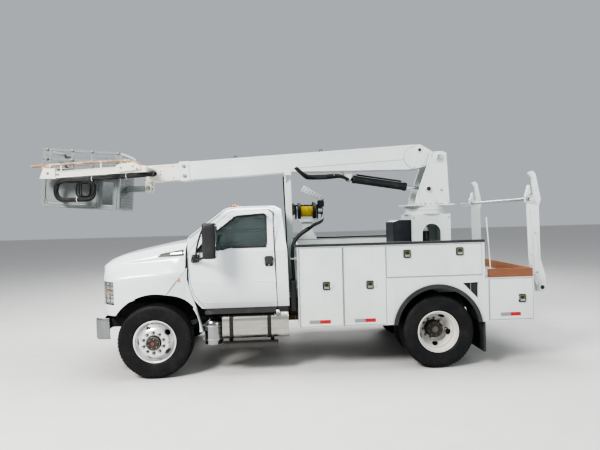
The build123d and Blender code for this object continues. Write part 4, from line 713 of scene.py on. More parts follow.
for word, end, way in bothSides:
    makeTyre(f"frontTyre{word}", f"front_wheel_{end}", f"front_tyre_{end}", [(0, way * 1053)])
    makeTyre(f"rearTyres{word}", f"rear_wheels_{end}", f"rear_tyres_{end}",
             [(4013, way * 1091), (4013, way * 749)])
print("tyres ready")

# Wheel nuts, hub covers and valve stems
wheelFacts = {"radius": 520, "rearAxle": 4013, "nuts": 10, "nutCircle": 142.9, "frontFace": 1224,
              "frontTurn": 18, "rearFace": 942, "rearTurn": 7}
nutSteel = bareMetal("wheelNutSteel", (0.16, 0.15, 0.14), rough=0.38, metallic=0.8, brush=(40, 40, 40),
                     stain=0.4, stainColour=(0.10, 0.06, 0.03))


def wheelNuts(maker, centre, way, face, turn):
    out = (0, way, 0)
    for c, s in turns(wheelFacts["nuts"], radians(turn)):
        spot = centre + Vector((c, 0, s)) * wheelFacts["nutCircle"] * 0.001
        spot.y += way * face * 0.001
        maker.use(bareSteel).lathe([(0, 27), (5, 27), (7, 24)], spot, out, 20)
        maker.use(nutSteel).lathe([(3, 19.6), (30, 19.6), (35, 16.5)], spot, out, 6)
        maker.use(bareSteel).lathe([(34, 11), (44, 11), (46, 9)], spot, out, 12)


def hubBolts(maker, centre, way, count, start, circle, proud, size):
    for c, s in turns(count, start):
        spot = centre + Vector((c * circle, 0, s * circle)) + Vector((0, way * proud, 0))
        maker.bolt(spot, (0, way, 0), size, size)


def valveStem(maker, way, *places):
    maker.use(blackRubber).tube([at(x, way * y, wheelFacts["radius"]) for x, y in places], [5, 5, 4], 10)


for word, end, way in bothSides:
    out = (0, way, 0)
    face = at(0, way * 1202, wheelFacts["radius"])
    hub = Maker(f"frontHub{word}")
    wheelNuts(hub, at(0, 0, wheelFacts["radius"]), way, wheelFacts["frontFace"], wheelFacts["frontTurn"])
    hub.use(hubOlive).lathe([(0, 104), (20, 104), (24, 97), (50, 96), (61, 90), (65, 78), (66, 52),
                             (64, 46)], face, out, 48)
    hub.use(hubRed).lathe([(60, 23), (68, 22), (72, 18), (73, 8)], face, out, 32)
    hubBolts(hub.use(bareSteel), face, way, 6, 0.3, 0.066, 0.063, 7)
    valveStem(hub, way, (188, 1190), (204, 1214), (208, 1240))
    hub.done(f"front_wheel_{end}", smooth=30)

    rear = Maker(f"rearHub{word}")
    axle = wheelFacts["rearAxle"]
    inset = at(axle, way * 920, wheelFacts["radius"])
    wheelNuts(rear, at(axle, 0, wheelFacts["radius"]), way, wheelFacts["rearFace"], wheelFacts["rearTurn"])
    rear.use(hubOlive).lathe([(20, 122), (100, 122), (132, 121), (138, 113), (140, 98), (140, 60)], inset,
                             out, 48)
    hubBolts(rear.use(nutSteel), inset, way, 8, 0.2, 0.096, 0.138, 8)
    rear.use(nutSteel).lathe([(136, 44), (146, 44), (149, 36)], inset, out, 32)
    valveStem(rear, way, (axle + 180, 960), (axle + 198, 1010), (axle + 204, 1060))
    rear.done(f"rear_wheels_{end}", smooth=30)
print("hubs and nuts ready")

# Hood: one smooth moulding through the sections of the CAD hood, then cut
hoodFacts = {"wall": 0.012, "floor": 700, "noseBottom": 860, "archCentre": (10, 520), "archRadius": 662}
hoodSections = (
    # station, crown, then across and up at the shoulder, waist, wing crest and wing face
    (-800, 1622, 600, 1598, 780, 1550, 800, 1420, 812, 1300),
    (-740, 1668, 680, 1640, 850, 1560, 930, 1420, 965, 1320),
    (-560, 1735, 760, 1700, 880, 1580, 1075, 1446, 1132, 1340),
    (-200, 1812, 810, 1775, 930, 1600, 1108, 1478, 1156, 1385),
    (170, 1880, 832, 1842, 965, 1640, 1102, 1492, 1150, 1400),
    (420, 1910, 842, 1868, 985, 1700, 1028, 1500, 1045, 1350),
)


def hoodSection(row):
    # closed half line of one section, from the crown to the floor, as (y, z)
    crown, ys, zs, yw, zw, yc, zc, yo, zo = row[1:]
    ridge = [(0, crown), (ys * 0.5, crown - (crown - zs) * 0.22), (ys * 0.86, zs + (crown - zs) * 0.3),
             (ys, zs - 6), (yw * 0.97, zw + (zs - zw) * 0.42), (yw, zw),
             ((yw + yc) / 2 - 8, (zw + zc) / 2 + 2), (yc, zc),
             (yc + (yo - yc) * 0.72, zc - (zc - zo) * 0.34), (yo, zo), (yo, zo - 130), (yo - 6, 930),
             (yo - 22, hoodFacts["floor"])]
    return ridge


def smoothRows():
    # sections between the given ones, on smooth lines
    lines = [[Vector((row[0], y, z)) for y, z in hoodSection(row)] for row in hoodSections]
    columns = [curved(list(column), 8) for column in zip(*lines)]
    return [list(row) for row in zip(*columns)]


def cutter(name):
    return Maker(name).use(blackPlastic)


def slab(name, outline, y):
    return cutter(name).sidePlate(outline, y, edge=0).done(None)


hoodMaker = Maker("hoodMoulding").use(whiteCab)
rowsOfHood = []
for line in smoothRows():
    half = curved(line, 5)
    whole = [Vector((p.x, -p.y, p.z)) for p in reversed(half[1:])] + half
    rowsOfHood.append(hoodMaker.ring([at(*p) for p in whole]))
hoodMaker.loft(rowsOfHood, turned=True, around=False)
# the nose closes with a face drawn in towards its middle
front = rowsOfHood[0]
lip = hoodMaker.ring([v.co + Vector((-0.004, 0, 0)) + (at(-800, 0, 1250) - v.co) * 0.02 for v in front])
hoodMaker.loft([front, lip], around=False, caps=(lip[::-1],))
hoodPiece = hoodMaker.done(None, smooth=40)
shell = hoodPiece.modifiers.new("wall", "SOLIDIFY")
shell.thickness = hoodFacts["wall"]
shell.offset = -1
bpy.context.view_layer.update()
graph = bpy.context.evaluated_depsgraph_get()
hoodPiece.data = bpy.data.meshes.new_from_object(hoodPiece.evaluated_get(graph))
hoodPiece.modifiers.clear()

nose = cutter("cutNose").block((-900, -560), (-1300, 1300), (600, hoodFacts["noseBottom"]), edge=0)
cuts = [nose.done(None)]
for word, end, way in bothSides:
    y = pair(way, 880, 1300)
    archX, archZ = hoodFacts["archCentre"]
    archWall = [(d, hoodFacts["archRadius"]) for d in y]
    arch = cutter(f"cutArch{word}").lathe(archWall, at(archX, 0, archZ), (0, 1, 0), 96)
    lampLines = ((-900, 640), (-900, 1000), (-700, 1200), (-552, 1300), (-552, 1050), (-700, 915),
                 (-776, 775), (-776, 640))
    lampHole = cutter(f"cutLamp{word}")
    lampHole.planPlate([(a, way * b) for a, b in lampLines], (1046, 1368), edge=0)
    floorLine = [(-900, 500), (-900, 895), (-530, 895), (-530, 500)]
    seamLine = [(446, 1539), (165, 1164), (60, 900), (60, 500), (900, 500), (900, 1539)]
    cuts += [arch.done(None), slab(f"cutFloor{word}", floorLine, y), slab(f"cutSeam{word}", seamLine, y),
             lampHole.done(None)]
cuts.append(cutter("cutGrille").block((-900, -700), (-610, 610), (880, 1530), edge=0).done(None))
cuts.append(slab("cutUnder", [(-560, 500), (-560, 860), (-500, 1100), (171, 1141), (446, 1539), (900, 1539),
                              (900, 500)], (-880, 880)))
carved(hoodPiece, cuts)
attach(hoodPiece, "hood")
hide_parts("hood")
smoothed(hoodPiece, 24)
print("hood ready")

# Grille: bright surround with level bars, a dark radiator screen behind
grilleFacts = {"face": -818, "half": 604, "z": (884, 1526), "bars": 4, "barHalf": 17, "uprights": 25,
               "levels": 17}
grille = Maker("grilleSurround").use(bumperChrome)
x0 = grilleFacts["face"]
z0, z1 = grilleFacts["z"]
half = grilleFacts["half"]
inside = half - 14
border = rounded(oblong(-half, half, z0, z1), 60, 6)
grille.tube([at(x0 + 12, y, z) for y, z in border], 21, 12, closed=True, flat=0.8)
for i in range(grilleFacts["bars"]):
    z = z0 + (i + 1) * (z1 - z0) / (grilleFacts["bars"] + 1)
    bar = oblong(-inside, inside, z - grilleFacts["barHalf"], z + grilleFacts["barHalf"])
    grille.facePlate(rounded(bar, 9, 3), (x0 + 2, x0 + 26), edge=5)
grille.use(blackPlastic)
for i in range(grilleFacts["uprights"]):
    y = -half + 40 + i * (2 * half - 80) / (grilleFacts["uprights"] - 1)
    grille.block((x0 + 20, x0 + 28), (y - 6, y + 6), (z0 + 12, z1 - 12), edge=1)
for i in range(grilleFacts["levels"]):
    z = z0 + 30 + i * (z1 - z0 - 60) / (grilleFacts["levels"] - 1)
    grille.block((x0 + 23, x0 + 28), (-inside, inside), (z - 5, z + 5), edge=1)
grille.block((x0 + 32, x0 + 38), (-half - 2, half + 2), (z0 - 2, z1 + 2), edge=1)
grillePiece = grille.done("hood", smooth=30)
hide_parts("grille")

# Headlamps: bright cells in a dark bezel, with an amber block and a clear cover
lampFacts = {"z": (1052, 1362), "splits": (1128, 1178, 1240, 1304), "amber": 1200, "cells": (0.14, 0.4),
             "cellLevels": (1208, 1272)}
lampLine = ((-808, 642), (-806, 770), (-786, 862), (-742, 946), (-660, 1030), (-558, 1116))


def lampSpot(t, inset):
    # a place along the lamp's outer line (0 to 1), drawn in by inset
    lengths = [hypot(c - a, d - b) for (a, b), (c, d) in zip(lampLine[:-1], lampLine[1:])]
    left = t * sum(lengths)
    for (a, b), (c, d), long in zip(lampLine[:-1], lampLine[1:], lengths):
        if left <= long + 1e-6:
            f = left / long
            nx, ny = -(d - b) / long, (c - a) / long
            return a + (c - a) * f - nx * inset, b + (d - b) * f - ny * inset
        left -= long
    return lampLine[-1]


def lampShell(maker, way, t, z, inset, thick, steps=14):
    # curved plate along the lamp between t[0] and t[1]
    places = [t[0] + (t[1] - t[0]) * i / steps for i in range(steps + 1)]
    outer = [lampSpot(place, inset) for place in places]
    inner = [lampSpot(place, inset + thick) for place in places]
    outline = [(x, way * y) for x, y in outer + inner[::-1]]
    maker.planPlate(outline, z, edge=2)


brightCell = bareMetal("lampReflector", (0.86, 0.87, 0.88), rough=0.08, brush=(9, 9, 9), stain=0.1,
                       grainDepth=0.02)
lampCover = glassPane("lampCoverPane", (0.92, 0.94, 0.94), depth=0.96)
lampSet = Maker("headlampSets")
for word, end, way in bothSides:
    z0, z1 = lampFacts["z"]
    lampSet.use(blackPlastic)
    lampShell(lampSet, way, (0.0, 1.0), (z0, z1), 26, 4)
    levels = (z0, *lampFacts["splits"], z1)
    for z in levels[1:-1]:
        lampShell(lampSet, way, (0.02, 0.98), (z - 5, z + 5), 5, 22)
    for z in (z0 + 5, z1 - 5):
        lampShell(lampSet, way, (0.0, 1.0), (z - 6, z + 6), 2, 26)
    for low, high in zip(levels[:-1], levels[1:]):
        amber = low < lampFacts["amber"] < high
        lampSet.use(brightCell)
        lampShell(lampSet, way, (0.03, 0.56 if amber else 0.97), (low + 7, high - 7), 17, 4)
        if amber:
            lampSet.use(amberLens)
            lampShell(lampSet, way, (0.58, 0.97), (low + 5, high - 5), 8, 12)
        lampSet.use(blackPlastic)
        for t in (0.26, 0.56, 0.78):
            if not (amber and t > 0.56):
                lampShell(lampSet, way, (t - 0.006, t + 0.006), (low + 5, high - 5), 9, 12, 2)
    for t, level in [(t, level) for level in lampFacts["cellLevels"] for t in lampFacts["cells"]]:
        x, y = lampSpot(t, 16)
        x2, y2 = lampSpot(t, 8)
        axis = Vector((x2 - x, way * (y2 - y), 0))
        spot = at(x, way * y, level)
        lampSet.use(bareSteel).lathe([(-4, 26), (2, 27), (8, 25)], spot, axis, 28)
        lampSet.use(clearLens).lathe([(3, 21), (6, 19), (9, 12), (10, 4)], spot, axis, 28)
    lampSet.use(lampCover)
    lampShell(lampSet, way, (0.0, 1.0), (z0 + 1, z1 - 1), 0.5, 2.0)
headlampPiece = lampSet.done("hood", smooth=30)
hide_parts("headlamps")
print("grille and headlamps ready")

# Bumper: bright bowed bar with wrapped, rounded ends
bumperFacts = {"bottom": 560, "low": 742, "high": 857, "rise": (960, 60)}
bumperLine = ((-900, 0), (-898, 300), (-893, 600), (-879, 850), (-861, 985), (-838, 1040), (-800, 1072),
              (-740, 1086), (-640, 1092))
bumper = Maker("bumperShell").use(bumperChrome)
whole = [(x, -y) for x, y in reversed(bumperLine[1:])] + list(bumperLine)
whole = curved([Vector((x, y, 0)) for x, y in whole], 6)
rings = []
for i, spot in enumerate(whole):
    way = (whole[min(len(whole) - 1, i + 1)] - whole[max(0, i - 1)]).normalized()
    out = Vector((way.y * -1, way.x, 0))
    if out.dot(Vector((spot.x + 400, spot.y, 0))) < 0:
        out = -out
    # the ends rise over a short run
    top = bumperFacts["low"]
    start, run = bumperFacts["rise"]
    if abs(spot.y) > start:
        top += (bumperFacts["high"] - top) * min(1, (abs(spot.y) - start) / run)
    low = bumperFacts["bottom"]
    profile = [(-30, low + 6), (-12, low), (-2, low + 12), (0, low + 40), (0, top - 40), (-2, top - 12),
               (-12, top), (-30, top - 6), (-30, top - 16), (-16, top - 16), (-16, low + 16),
               (-30, low + 16)]
    rings.append(bumper.ring([at(spot.x, spot.y, z) + out * o * 0.001 for o, z in profile]))
bumper.loft(rings, turned=True, caps=(rings[0], rings[-1][::-1]))
# dark plates on the bumper's face for its two openings: painted shade in place of holes
for y in (-330, 330):
    holeShade = rounded(oblong(y - 95, y + 95, 610, 690), 30, 4)
    bumper.use(blackPlastic).facePlate(holeShade, (-899.5, -890), edge=2)
bumper.use(frameBlack)
for way in (-1, 1):
    bumper.block((-872, -600), pair(way, 435, 450), (590, 735), edge=2)
bumperPiece = bumper.done("chassis", smooth=30)
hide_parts("bumper")
print("bumper ready")

# Cab doors: window seals, seams, handles and mirrors
cabSkin = Skin("cab_shell", "cab_door_left", "cab_door_right")
windowLine = ((560, 1735), (862, 1745), (1093, 1805), (1590, 1805), (1590, 2250), (1560, 2275),
              (1150, 2250), (700, 1905))
cabFacts = {"sealRadius": 8, "handleX": (1563, 1674), "handleZ": (1513, 1661), "handleY": 1012,
            "markerAt": (330, 1360), "mirrorMiddle": (824, 1290), "wipers": ((-640, -80), (120, 680)),
            "vent": ((8, 1682), (400, 1700), (392, 1784), (62, 1730)),
            "ventBar": ((196, 1717), (374, 1728), (372, 1751), (206, 1737)),
            "roofLampY": (-620, -230, 0, 230, 620)}
mirrorGlass = bareMetal("mirrorGlassFace", (0.84, 0.86, 0.88), rough=0.02, brush=(4, 4, 4), stain=0.08,
                        grainDepth=0.0)


def sideLine(maker, points, way, proud, radius, sides=8, closed=False, fallback=1000):
    # a bead along the cab's side, from (x, z) points
    line = list(points) + ([points[0]] if closed else [])
    spots = [cabSkin.beside(x, z, way, proud, fallback) for x, z in spaced(line, 30)]
    if closed:
        spots.pop()
    return maker.tube(spots, radius, sides, closed=closed)


def doorSide(word, end, way):
    maker = Maker(f"doorTrim{word}")
    maker.use(blackRubber)
    sideLine(maker, rounded(windowLine, 60, 6), way, 1.5, cabFacts["sealRadius"], closed=True, sides=10,
             fallback=990)
    # divider of the quarter window, and the weather strip under the glass
    sideLine(maker, [(836, 1752), (858, 2016)], way, -6, 13, sides=10, fallback=985)
    sideLine(maker, [(1095, 1793), (1590, 1793)], way, 4, 9)
    # crease below the handle
    maker.use(whiteCab)
    sideLine(maker, [(505, 1310), (900, 1302), (1715, 1300)], way, -3, 8, fallback=1010)
    sideLine(maker, [(640, 1010), (1200, 1000), (1715, 1000)], way, -3, 7, fallback=1005)
    # handle: black recess with a paddle
    x0, x1 = cabFacts["handleX"]
    z0, z1 = cabFacts["handleZ"]
    y = cabFacts["handleY"]
    maker.use(blackPlastic).sidePlate(rounded(oblong(x0, x1, z0, z1), 22, 5), pair(way, y - 6, y + 9))
    maker.use(railGrey).sidePlate(rounded(oblong(x0 - 8, x1 + 10, z0 + 34, z1 - 10), 18, 5),
                                  pair(way, y + 5, y + 36), edge=9, rounds=3)
    lock = at(x0 + 54, way * (y + 8), z0 + 24)
    maker.use(bareSteel).lathe([(0, 13), (4, 13), (5, 10)], lock, (0, way, 0), 20)
    # mirror foot on the door's front corner
    maker.use(blackPlastic).sidePlate(rounded([(508, 1598), (622, 1598), (632, 1712), (520, 1712)], 24, 5),
                                      pair(way, 1012, 1052), edge=8, rounds=3)
    maker.use(bareSteel)
    for x, z in ((534, 1620), (604, 1620), (544, 1692), (610, 1692)):
        maker.bolt(at(x, way * 1050, z), (0, way, 0), 7, 6)
    piece = maker.done(f"cab_door_{end}")


def mirrorSet(word, end, way):
    maker = Maker(f"mirror{word}")
    maker.use(blackPlastic)
    rows = ((1672, 0.80), (1684, 0.93), (1702, 1.0), (1760, 1.0), (1900, 1.0), (2080, 1.0), (2130, 0.98),
            (2150, 0.90), (2160, 0.76))
    plan = rounded([(-98, -106), (52, -108), (86, -70), (86, 70), (52, 108), (-98, 106)], 46, 6)
    x0, y0 = cabFacts["mirrorMiddle"]
    rings = [maker.ring([at(x0 + x * scale, way * y0 + y * scale, z) for x, y in plan])
             for z, scale in rows]
    maker.loft(rings, caps=(rings[0][::-1], rings[-1]))
    # the glass looks to the rear
    maker.use(mirrorGlass)
    for low, high in ((1830, 2130), (1700, 1806)):
        maker.facePlate(rounded(oblong(way * 1205, way * 1375, low, high), 30, 5), (907, 912), edge=1)
    maker.use(blackPlastic)
    maker.hose([(566, way * 1046, 1640), (640, way * 1085, 1650), (740, way * 1170, 1690),
                (800, way * 1236, 1722)], 6, 16)
    maker.hose([(580, way * 1046, 1680), (610, way * 1066, 1850), (700, way * 1150, 2060),
                (800, way * 1240, 2082)], 8, 13)
    piece = maker.done(f"cab_door_{end}", smooth=40)
    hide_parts(f"mirror_{end}")


for word, end, way in bothSides:
    doorSide(word, end, way)
    mirrorSet(word, end, way)
print("doors and mirrors ready")

# Trim that stays on the cab's shell
shellTrim = Maker("cabShellTrim")
for word, end, way in bothSides:
    # roof gutter over the door
    shellTrim.use(whiteCab)
    sideLine(shellTrim, [(470, 1950), (700, 2128), (1000, 2352), (1120, 2372), (1640, 2376), (1720, 2340)],
             way, 5, 10, fallback=830, sides=10)
    # grey seal in the gap behind the door, partly a seal and partly painted light laid over the gap's
    # shade, so the slot doesn't read as a thick black line
    shellTrim.use(lightenedGapSeal)
    sideLine(shellTrim, [(1625, 2343), (1688, 2290), (1710, 1900), (1728, 1300), (1728, 940)], way, -9, 6,
             fallback=980)
    # amber marker on the wing's rear part
    mx, mz = cabFacts["markerAt"]
    spot = Skin("cab_shell").beside(mx, mz, way, 0, 1080)
    shellTrim.use(bumperChrome).lathe([(-2, 24), (3, 24), (5, 21)], spot, (0, way, 0), 28)
    shellTrim.use(amberLens).lathe([(2, 19), (8, 17), (12, 11), (13, 4)], spot, (0, way, 0), 24)
# windscreen rubber and wipers
glassSkin = Skin("cab_shell", "cab_glass")


def screenHit(skin, y, z):
    return skin.tree.ray_cast(at(-600, y, z), Vector((1, 0, 0)))[0]


screen = []
screenLine = rounded([(-900, 2010), (900, 2010), (770, 2300), (-770, 2300)], 60, 6) + [(-840, 2010)]
for y, z in spaced(screenLine, 60):
    hit = screenHit(cabSkin, y, z) or screenHit(glassSkin, y, z)
    if hit is not None:
        screen.append(hit + Vector((-0.002, 0, 0.002)))
shellTrim.use(blackRubber).tube(screen, 13, 8)
for y0, y1 in cabFacts["wipers"]:
    hits = [screenHit(glassSkin, y0 + (y1 - y0) * i / 6, 2036) for i in range(7)]
    hits = [h + Vector((-0.016, 0, 0.012)) for h in hits if h is not None]
    if len(hits) > 1:
        shellTrim.use(blackPlastic).tube(hits, 7, 8)
        mid = hits[len(hits) // 2]
        shellTrim.tube([mid + Vector((-0.006, 0, 0)), mid + Vector((-0.05, -0.1, -0.055)),
                        hits[0] + Vector((-0.05, -0.02, -0.075))], 8, 8)
shellPiece = shellTrim.done("chassis")


def skinPatch(maker, skin, corners, way, proud, across=14, up=5, fallback=940):
    # a thin plate that follows the skin between four corners
    a, b, c, d = corners
    spots = []
    for depth in (proud, -6):
        for u, v in [(i / across, j / up) for i in range(across + 1) for j in range(up + 1)]:
            x, z = ((1 - v) * ((1 - u) * a[k] + u * b[k]) + v * ((1 - u) * d[k] + u * c[k]) for k in (0, 1))
            spots.append(skin.beside(x, z, way, depth, fallback))
    row = up + 1
    cells = [(i * row + j, (i + 1) * row + j, (i + 1) * row + j + 1, i * row + j + 1) for i in range(across)
             for j in range(up)]
    rim = [i * row for i in range(across)] + [across * row + j for j in range(up)]
    rim += [i * row + up for i in range(across, 0, -1)] + [j for j in range(up, 0, -1)]
    below = (across + 1) * row
    walls = [(p, q, q + below, p + below) for p, q in zip(rim, rim[1:] + rim[:1])]
    maker.faces(spots, cells + walls)


# Black wedge on the hood's flank, with a plain bright bar on it
vents = Maker("hoodFlankVents")
hoodSkin = Skin(hoodPiece)
for word, end, way in bothSides:
    vents.use(blackPlastic)
    skinPatch(vents, hoodSkin, cabFacts["vent"], way, 4)
    vents.use(tankMetal)
    skinPatch(vents, hoodSkin, cabFacts["ventBar"], way, 8)
ventPiece = vents.done("hood")
print("cab trim ready")

# Roof and tail lamps
lampGroup = Maker("roofLamps")
for y in cabFacts["roofLampY"]:
    base = rounded(oblong(1064, 1136, y - 46, y + 46), 22, 5)
    lampGroup.use(blackRubber).planPlate(base, (2384, 2400), edge=2)
    rings = []
    for z, scale in ((2398, 1.0), (2408, 0.97), (2417, 0.86), (2423, 0.66), (2425.5, 0.35)):
        x0, y0 = 31 * scale, 41 * scale
        outline = rounded(oblong(-x0, x0, -y0, y0), 20 * scale, 5)
        rings.append(lampGroup.ring([at(1100 + a, y + b, z) for a, b in outline]))
    lampGroup.use(amberLens).loft(rings, caps=(rings[-1],))
for way in (-1, 1):
    y = way * 1120
    base = rounded(oblong(y - 58, y + 58, 1116, 1244), 16, 4)
    lampGroup.use(blackRubber).facePlate(base, (5417, 5431), edge=2)
    for z0, z1, finish in ((1200, 1238, redLens), (1162, 1197, amberLens), (1122, 1159, clearLens)):
        front = rounded(oblong(y - 50, y + 50, z0, z1), 9, 3)
        lampGroup.use(finish).facePlate(front, (5428, 5452), edge=5, rounds=3)
lampPiece = lampGroup.done("chassis")
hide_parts("lamps")
print("lamps ready")

# Below the cab: tank straps, filler, tread plates, canister bands, valance and arch liners
lowFacts = {"straps": (1064, 1602), "tankMiddle": (-799, 682.5), "tankHalf": (329, 185.5),
            "capAt": (1719, -1088, 838), "canisterAt": (799, -985), "stepRidges": 34}
tankY, tankZ = lowFacts["tankMiddle"]
tankA, tankB = lowFacts["tankHalf"]


def tankRing(x, grow, radius):
    # outline round the tank, drawn out by grow
    a, b = tankA + grow, tankB + grow
    return [at(x, tankY + y, tankZ + z) for y, z in rounded(oblong(-a, a, -b, b), radius, 10)]


low = Maker("lowerFittings")
for x in lowFacts["straps"]:
    low.use(blackRubber)
    strap = ((-27, 0), (-27, 6.4), (27, 6.4), (27, 0))
    low.loft([low.ring(tankRing(x + half, grow, 122)) for half, grow in strap])
    low.use(frameBlack)
    low.block((x - 9, x + 9), (-1140, -1126), (585, 655), edge=2)
    low.bolt(at(x, -1138, 645), (0, -1, 0), 9, 9)
neck = at(*lowFacts["capAt"])
low.use(tankMetal).lathe([(-6, 52), (10, 50), (14, 46)], neck, (0, -0.7, 0.7), 40)
low.use(brightCan).lathe([(12, 44), (40, 44), (46, 38), (47, 14)], neck, (0, -0.7, 0.7), 40)
for c, s in turns(18):
    side = Vector((c, 0, 0)) + Vector((0, 0.707, 0.707)) * s
    low.tube([neck + Vector((0, -0.707, 0.707)) * along + side * 0.044 for along in (0.014, 0.038)], 3, 6)
# seam rings at both ends of the drum
low.use(tankMetal)
for x in (940, 1874):
    low.tube(tankRing(x, 0, 112), 5, 8, closed=True)
low.use(bareSteel).lathe([(0, 20), (8, 20), (10, 14)], at(1180, tankY, 497), (0, 0, -1), 6)
# round bands on the canister and the pipe out of it
canX, canY = lowFacts["canisterAt"]
low.use(bareSteel)
for z in (500, 690):
    low.lathe([(-8, 134.5), (-6, 136), (6, 136), (8, 134.5)], at(canX, canY, z), (0, 0, 1), 56,
              closed=False)
    low.block((640, 690), (-1000, -970), (z - 12, z + 12))
low.use(blackRubber).hose([(canX, canY, 800), (790, -900, 842), (760, -700, 850), (740, -460, 800)], 8, 16)
piece = low.done("chassis")

# Tread plates: ridges and raised edges on the four steps
treads = Maker("stepTreads").use(stepGrip)
for way in (-1, 1):
    for (x0, x1), top, deep in (((705, 1700), 918, 46), ((941, 1718), 446, 60)):
        near, far = pair(way, 1008, 1142)
        for i in range(lowFacts["stepRidges"]):
            x = x0 + 18 + i * (x1 - x0 - 36) / (lowFacts["stepRidges"] - 1)
            for k in range(5):
                y = near + (k + 0.5) * (far - near) / 5
                lean = 8 if (i + k) % 2 else -8
                treads.bar([(x - lean, y - 8, top + 1), (x + lean, y + 8, top + 1)], 3.2, 6)
        treads.block((x0 - 3, x1 + 3), pair(way, 1142, 1153), (top - deep, top + 4))
        for end in ((x0 - 3, x0 + 8), (x1 - 8, x1 + 3)):
            treads.block(end, pair(way, 1000, 1150), (top - 44, top + 4))
        for x in (x0 + 60, (x0 + x1) / 2, x1 - 60):
            treads.bolt(at(x, way * 1152, top - 22), (0, way, 0), 8, 6)
# skirts under the doors, behind the upper steps
for way in (-1, 1):
    treads.block((690, 1890), pair(way, 985, 1003), (868, 924), edge=4)
piece = treads.done("chassis")

archFacts = {"middle": (4008, 557), "outer": 637, "inner": 630, "steps": 40, "from": 7, "over": 166}
liner = Maker("archLiners").use(blackPlastic)
for way in (-1, 1):
    # over the rear wheels: half drums inside the lockers
    midX, midZ = archFacts["middle"]
    corners = ((archFacts["outer"], 1214), (archFacts["outer"], 762), (archFacts["inner"], 762),
               (archFacts["inner"], 1214))
    rings = []
    for i in range(archFacts["steps"] + 1):
        a = radians(archFacts["from"]) + radians(archFacts["over"]) * i / archFacts["steps"]
        rings.append(liner.ring([at(midX - cos(a) * r, way * y, midZ + sin(a) * r) for r, y in corners]))
    liner.loft(rings, turned=True, caps=(rings[0], rings[-1][::-1]))
piece = liner.done("chassis")

# dark valance between the bumper and the nose, and the tow hooks
guards = Maker("frontGuards").use(blackPlastic)
guards.prism([at(x, y, 735) for x, y in ((-821, -840), (-821, 840), (-811, 830), (-811, -830))],
             [at(x, y, 829) for x, y in ((-800, -800), (-800, 800), (-790, 790), (-790, -790))], edge=2)
for y in (-560, -280, 0, 280, 560):
    guards.prism([at(x, y + w, 758) for x, w in ((-819, -70), (-819, 70), (-813, 70), (-813, -70))],
                 [at(x, y + w, 812) for x, w in ((-806, -70), (-806, 70), (-800, 70), (-800, -70))], edge=1)
for way in (-1, 1):
    # tow hooks from the rails
    guards.use(frameBlack).hose([(-740, way * 400, 690), (-830, way * 400, 660), (-872, way * 400, 690),
                                 (-850, way * 400, 728), (-800, way * 400, 724)], 6, 14)
piece = guards.done("chassis")

# Underneath: exhaust, air tanks and the lines along the rails
underFacts = {"silencer": (330, 540), "silencerX": (1340, 2100), "airTankY": (-255, -80), "airTankX": 2560}
exhaustY, exhaustZ = underFacts["silencer"]
start, end = underFacts["silencerX"]
under = Maker("underFittings")
under.use(rustySteel)
under.hose([(640, 250, 640), (900, 300, 560), (start - 40, exhaustY, exhaustZ)], 6, 45, 16)
under.tube([at(x, exhaustY, exhaustZ) for x in (start - 40, start, end, end + 40)], [50, 118, 118, 50], 28)
under.hose([(end + 40, exhaustY, exhaustZ), (2700, 330, 560), (3300, 560, 560), (3500, 700, 590)], 6, 42,
           16)
under.use(bareSteel)
for x in (start + 80, end - 80):
    under.clamp(at(x, exhaustY, exhaustZ), (1, 0, 0), 12, 120.5, 123, 32)
    under.block((x - 10, x + 10), (330, 426), (648, 712), edge=2)
for y in underFacts["airTankY"]:
    under.use(frameBlack)
    x = underFacts["airTankX"]
    under.lathe([(-330, 40), (-318, 92), (-300, 104), (300, 104), (318, 92), (330, 40)], at(x, y, 560),
                (1, 0, 0), 36)
    under.use(bareSteel)
    for x in (x - 180, x + 180):
        under.clamp(at(x, y, 560), (1, 0, 0), 14, 105, 108, 32)
        under.block((x - 12, x + 12), (y - 12, y + 12), (664, 716), edge=2)
for way in (-1, 1):
    under.use(blackRubber)
    for k in range(2):
        under.tube([at(x, way * 418, 812 + 28 * k) for x in (-300 + 20 * k, 1000, 3000, 5200)], 9, 10)
piece = under.done("chassis")
print("lower fittings ready")

# Locker body: latches, hinges, reflectors, seams and the grab bar
bodyFacts = {"face": 1216, "latches": ((1, 2421, 1231), (2, 3039, 1229), (3, 3578, 1650), (3, 4339, 1664),
                                       (4, 5240, 965)), "latchHalf": (52, 58),
             "reflectors": ((2169, 2472, 700), (2813, 3112, 700), (4923, 5217, 716))}


def slamLatch(maker, x, z, way):
    face = bodyFacts["face"]
    wide, tall = bodyFacts["latchHalf"]
    x0, x1, z0, z1 = x - wide, x + wide, z - tall, z + tall
    plates = (
        # finish, rectangle, corner radius and steps, from and to off the face, softened edge
        (blackTrimAndHollowShade, (x0, x1, z0, z1), (16, 5), (-1, 15.5), 3),
        (latchBrass, (x0 + 14, x1 - 14, z0 + 14, z1 - 14), (10, 4), (14, 16.5), 1),
        (blackTrimAndHollowShade, (x0 + 24, x1 - 24, z - 8, z1 - 22), (8, 4), (15, 17.5), 1),
        (bareSteel, (x0 + 20, x1 - 34, z0 + 20, z - 12), (8, 4), (15, 20), 3),
    )
    for finish, place, corner, depth, edge in plates:
        across = pair(way, *(face + d for d in depth))
        maker.use(finish).sidePlate(rounded(oblong(*place), *corner), across, edge=edge)
    maker.lathe([(0, 11), (4, 11), (5, 8)], at(x1 - 24, way * (face + 15), z0 + 30), (0, way, 0), 20)
    for a, b in oblong(x0 + 8, x1 - 8, z0 + 8, z1 - 8):
        maker.lathe([(0, 4.5), (2.5, 4), (3.5, 2)], at(a, way * (face + 15), b), (0, way, 0), 10)
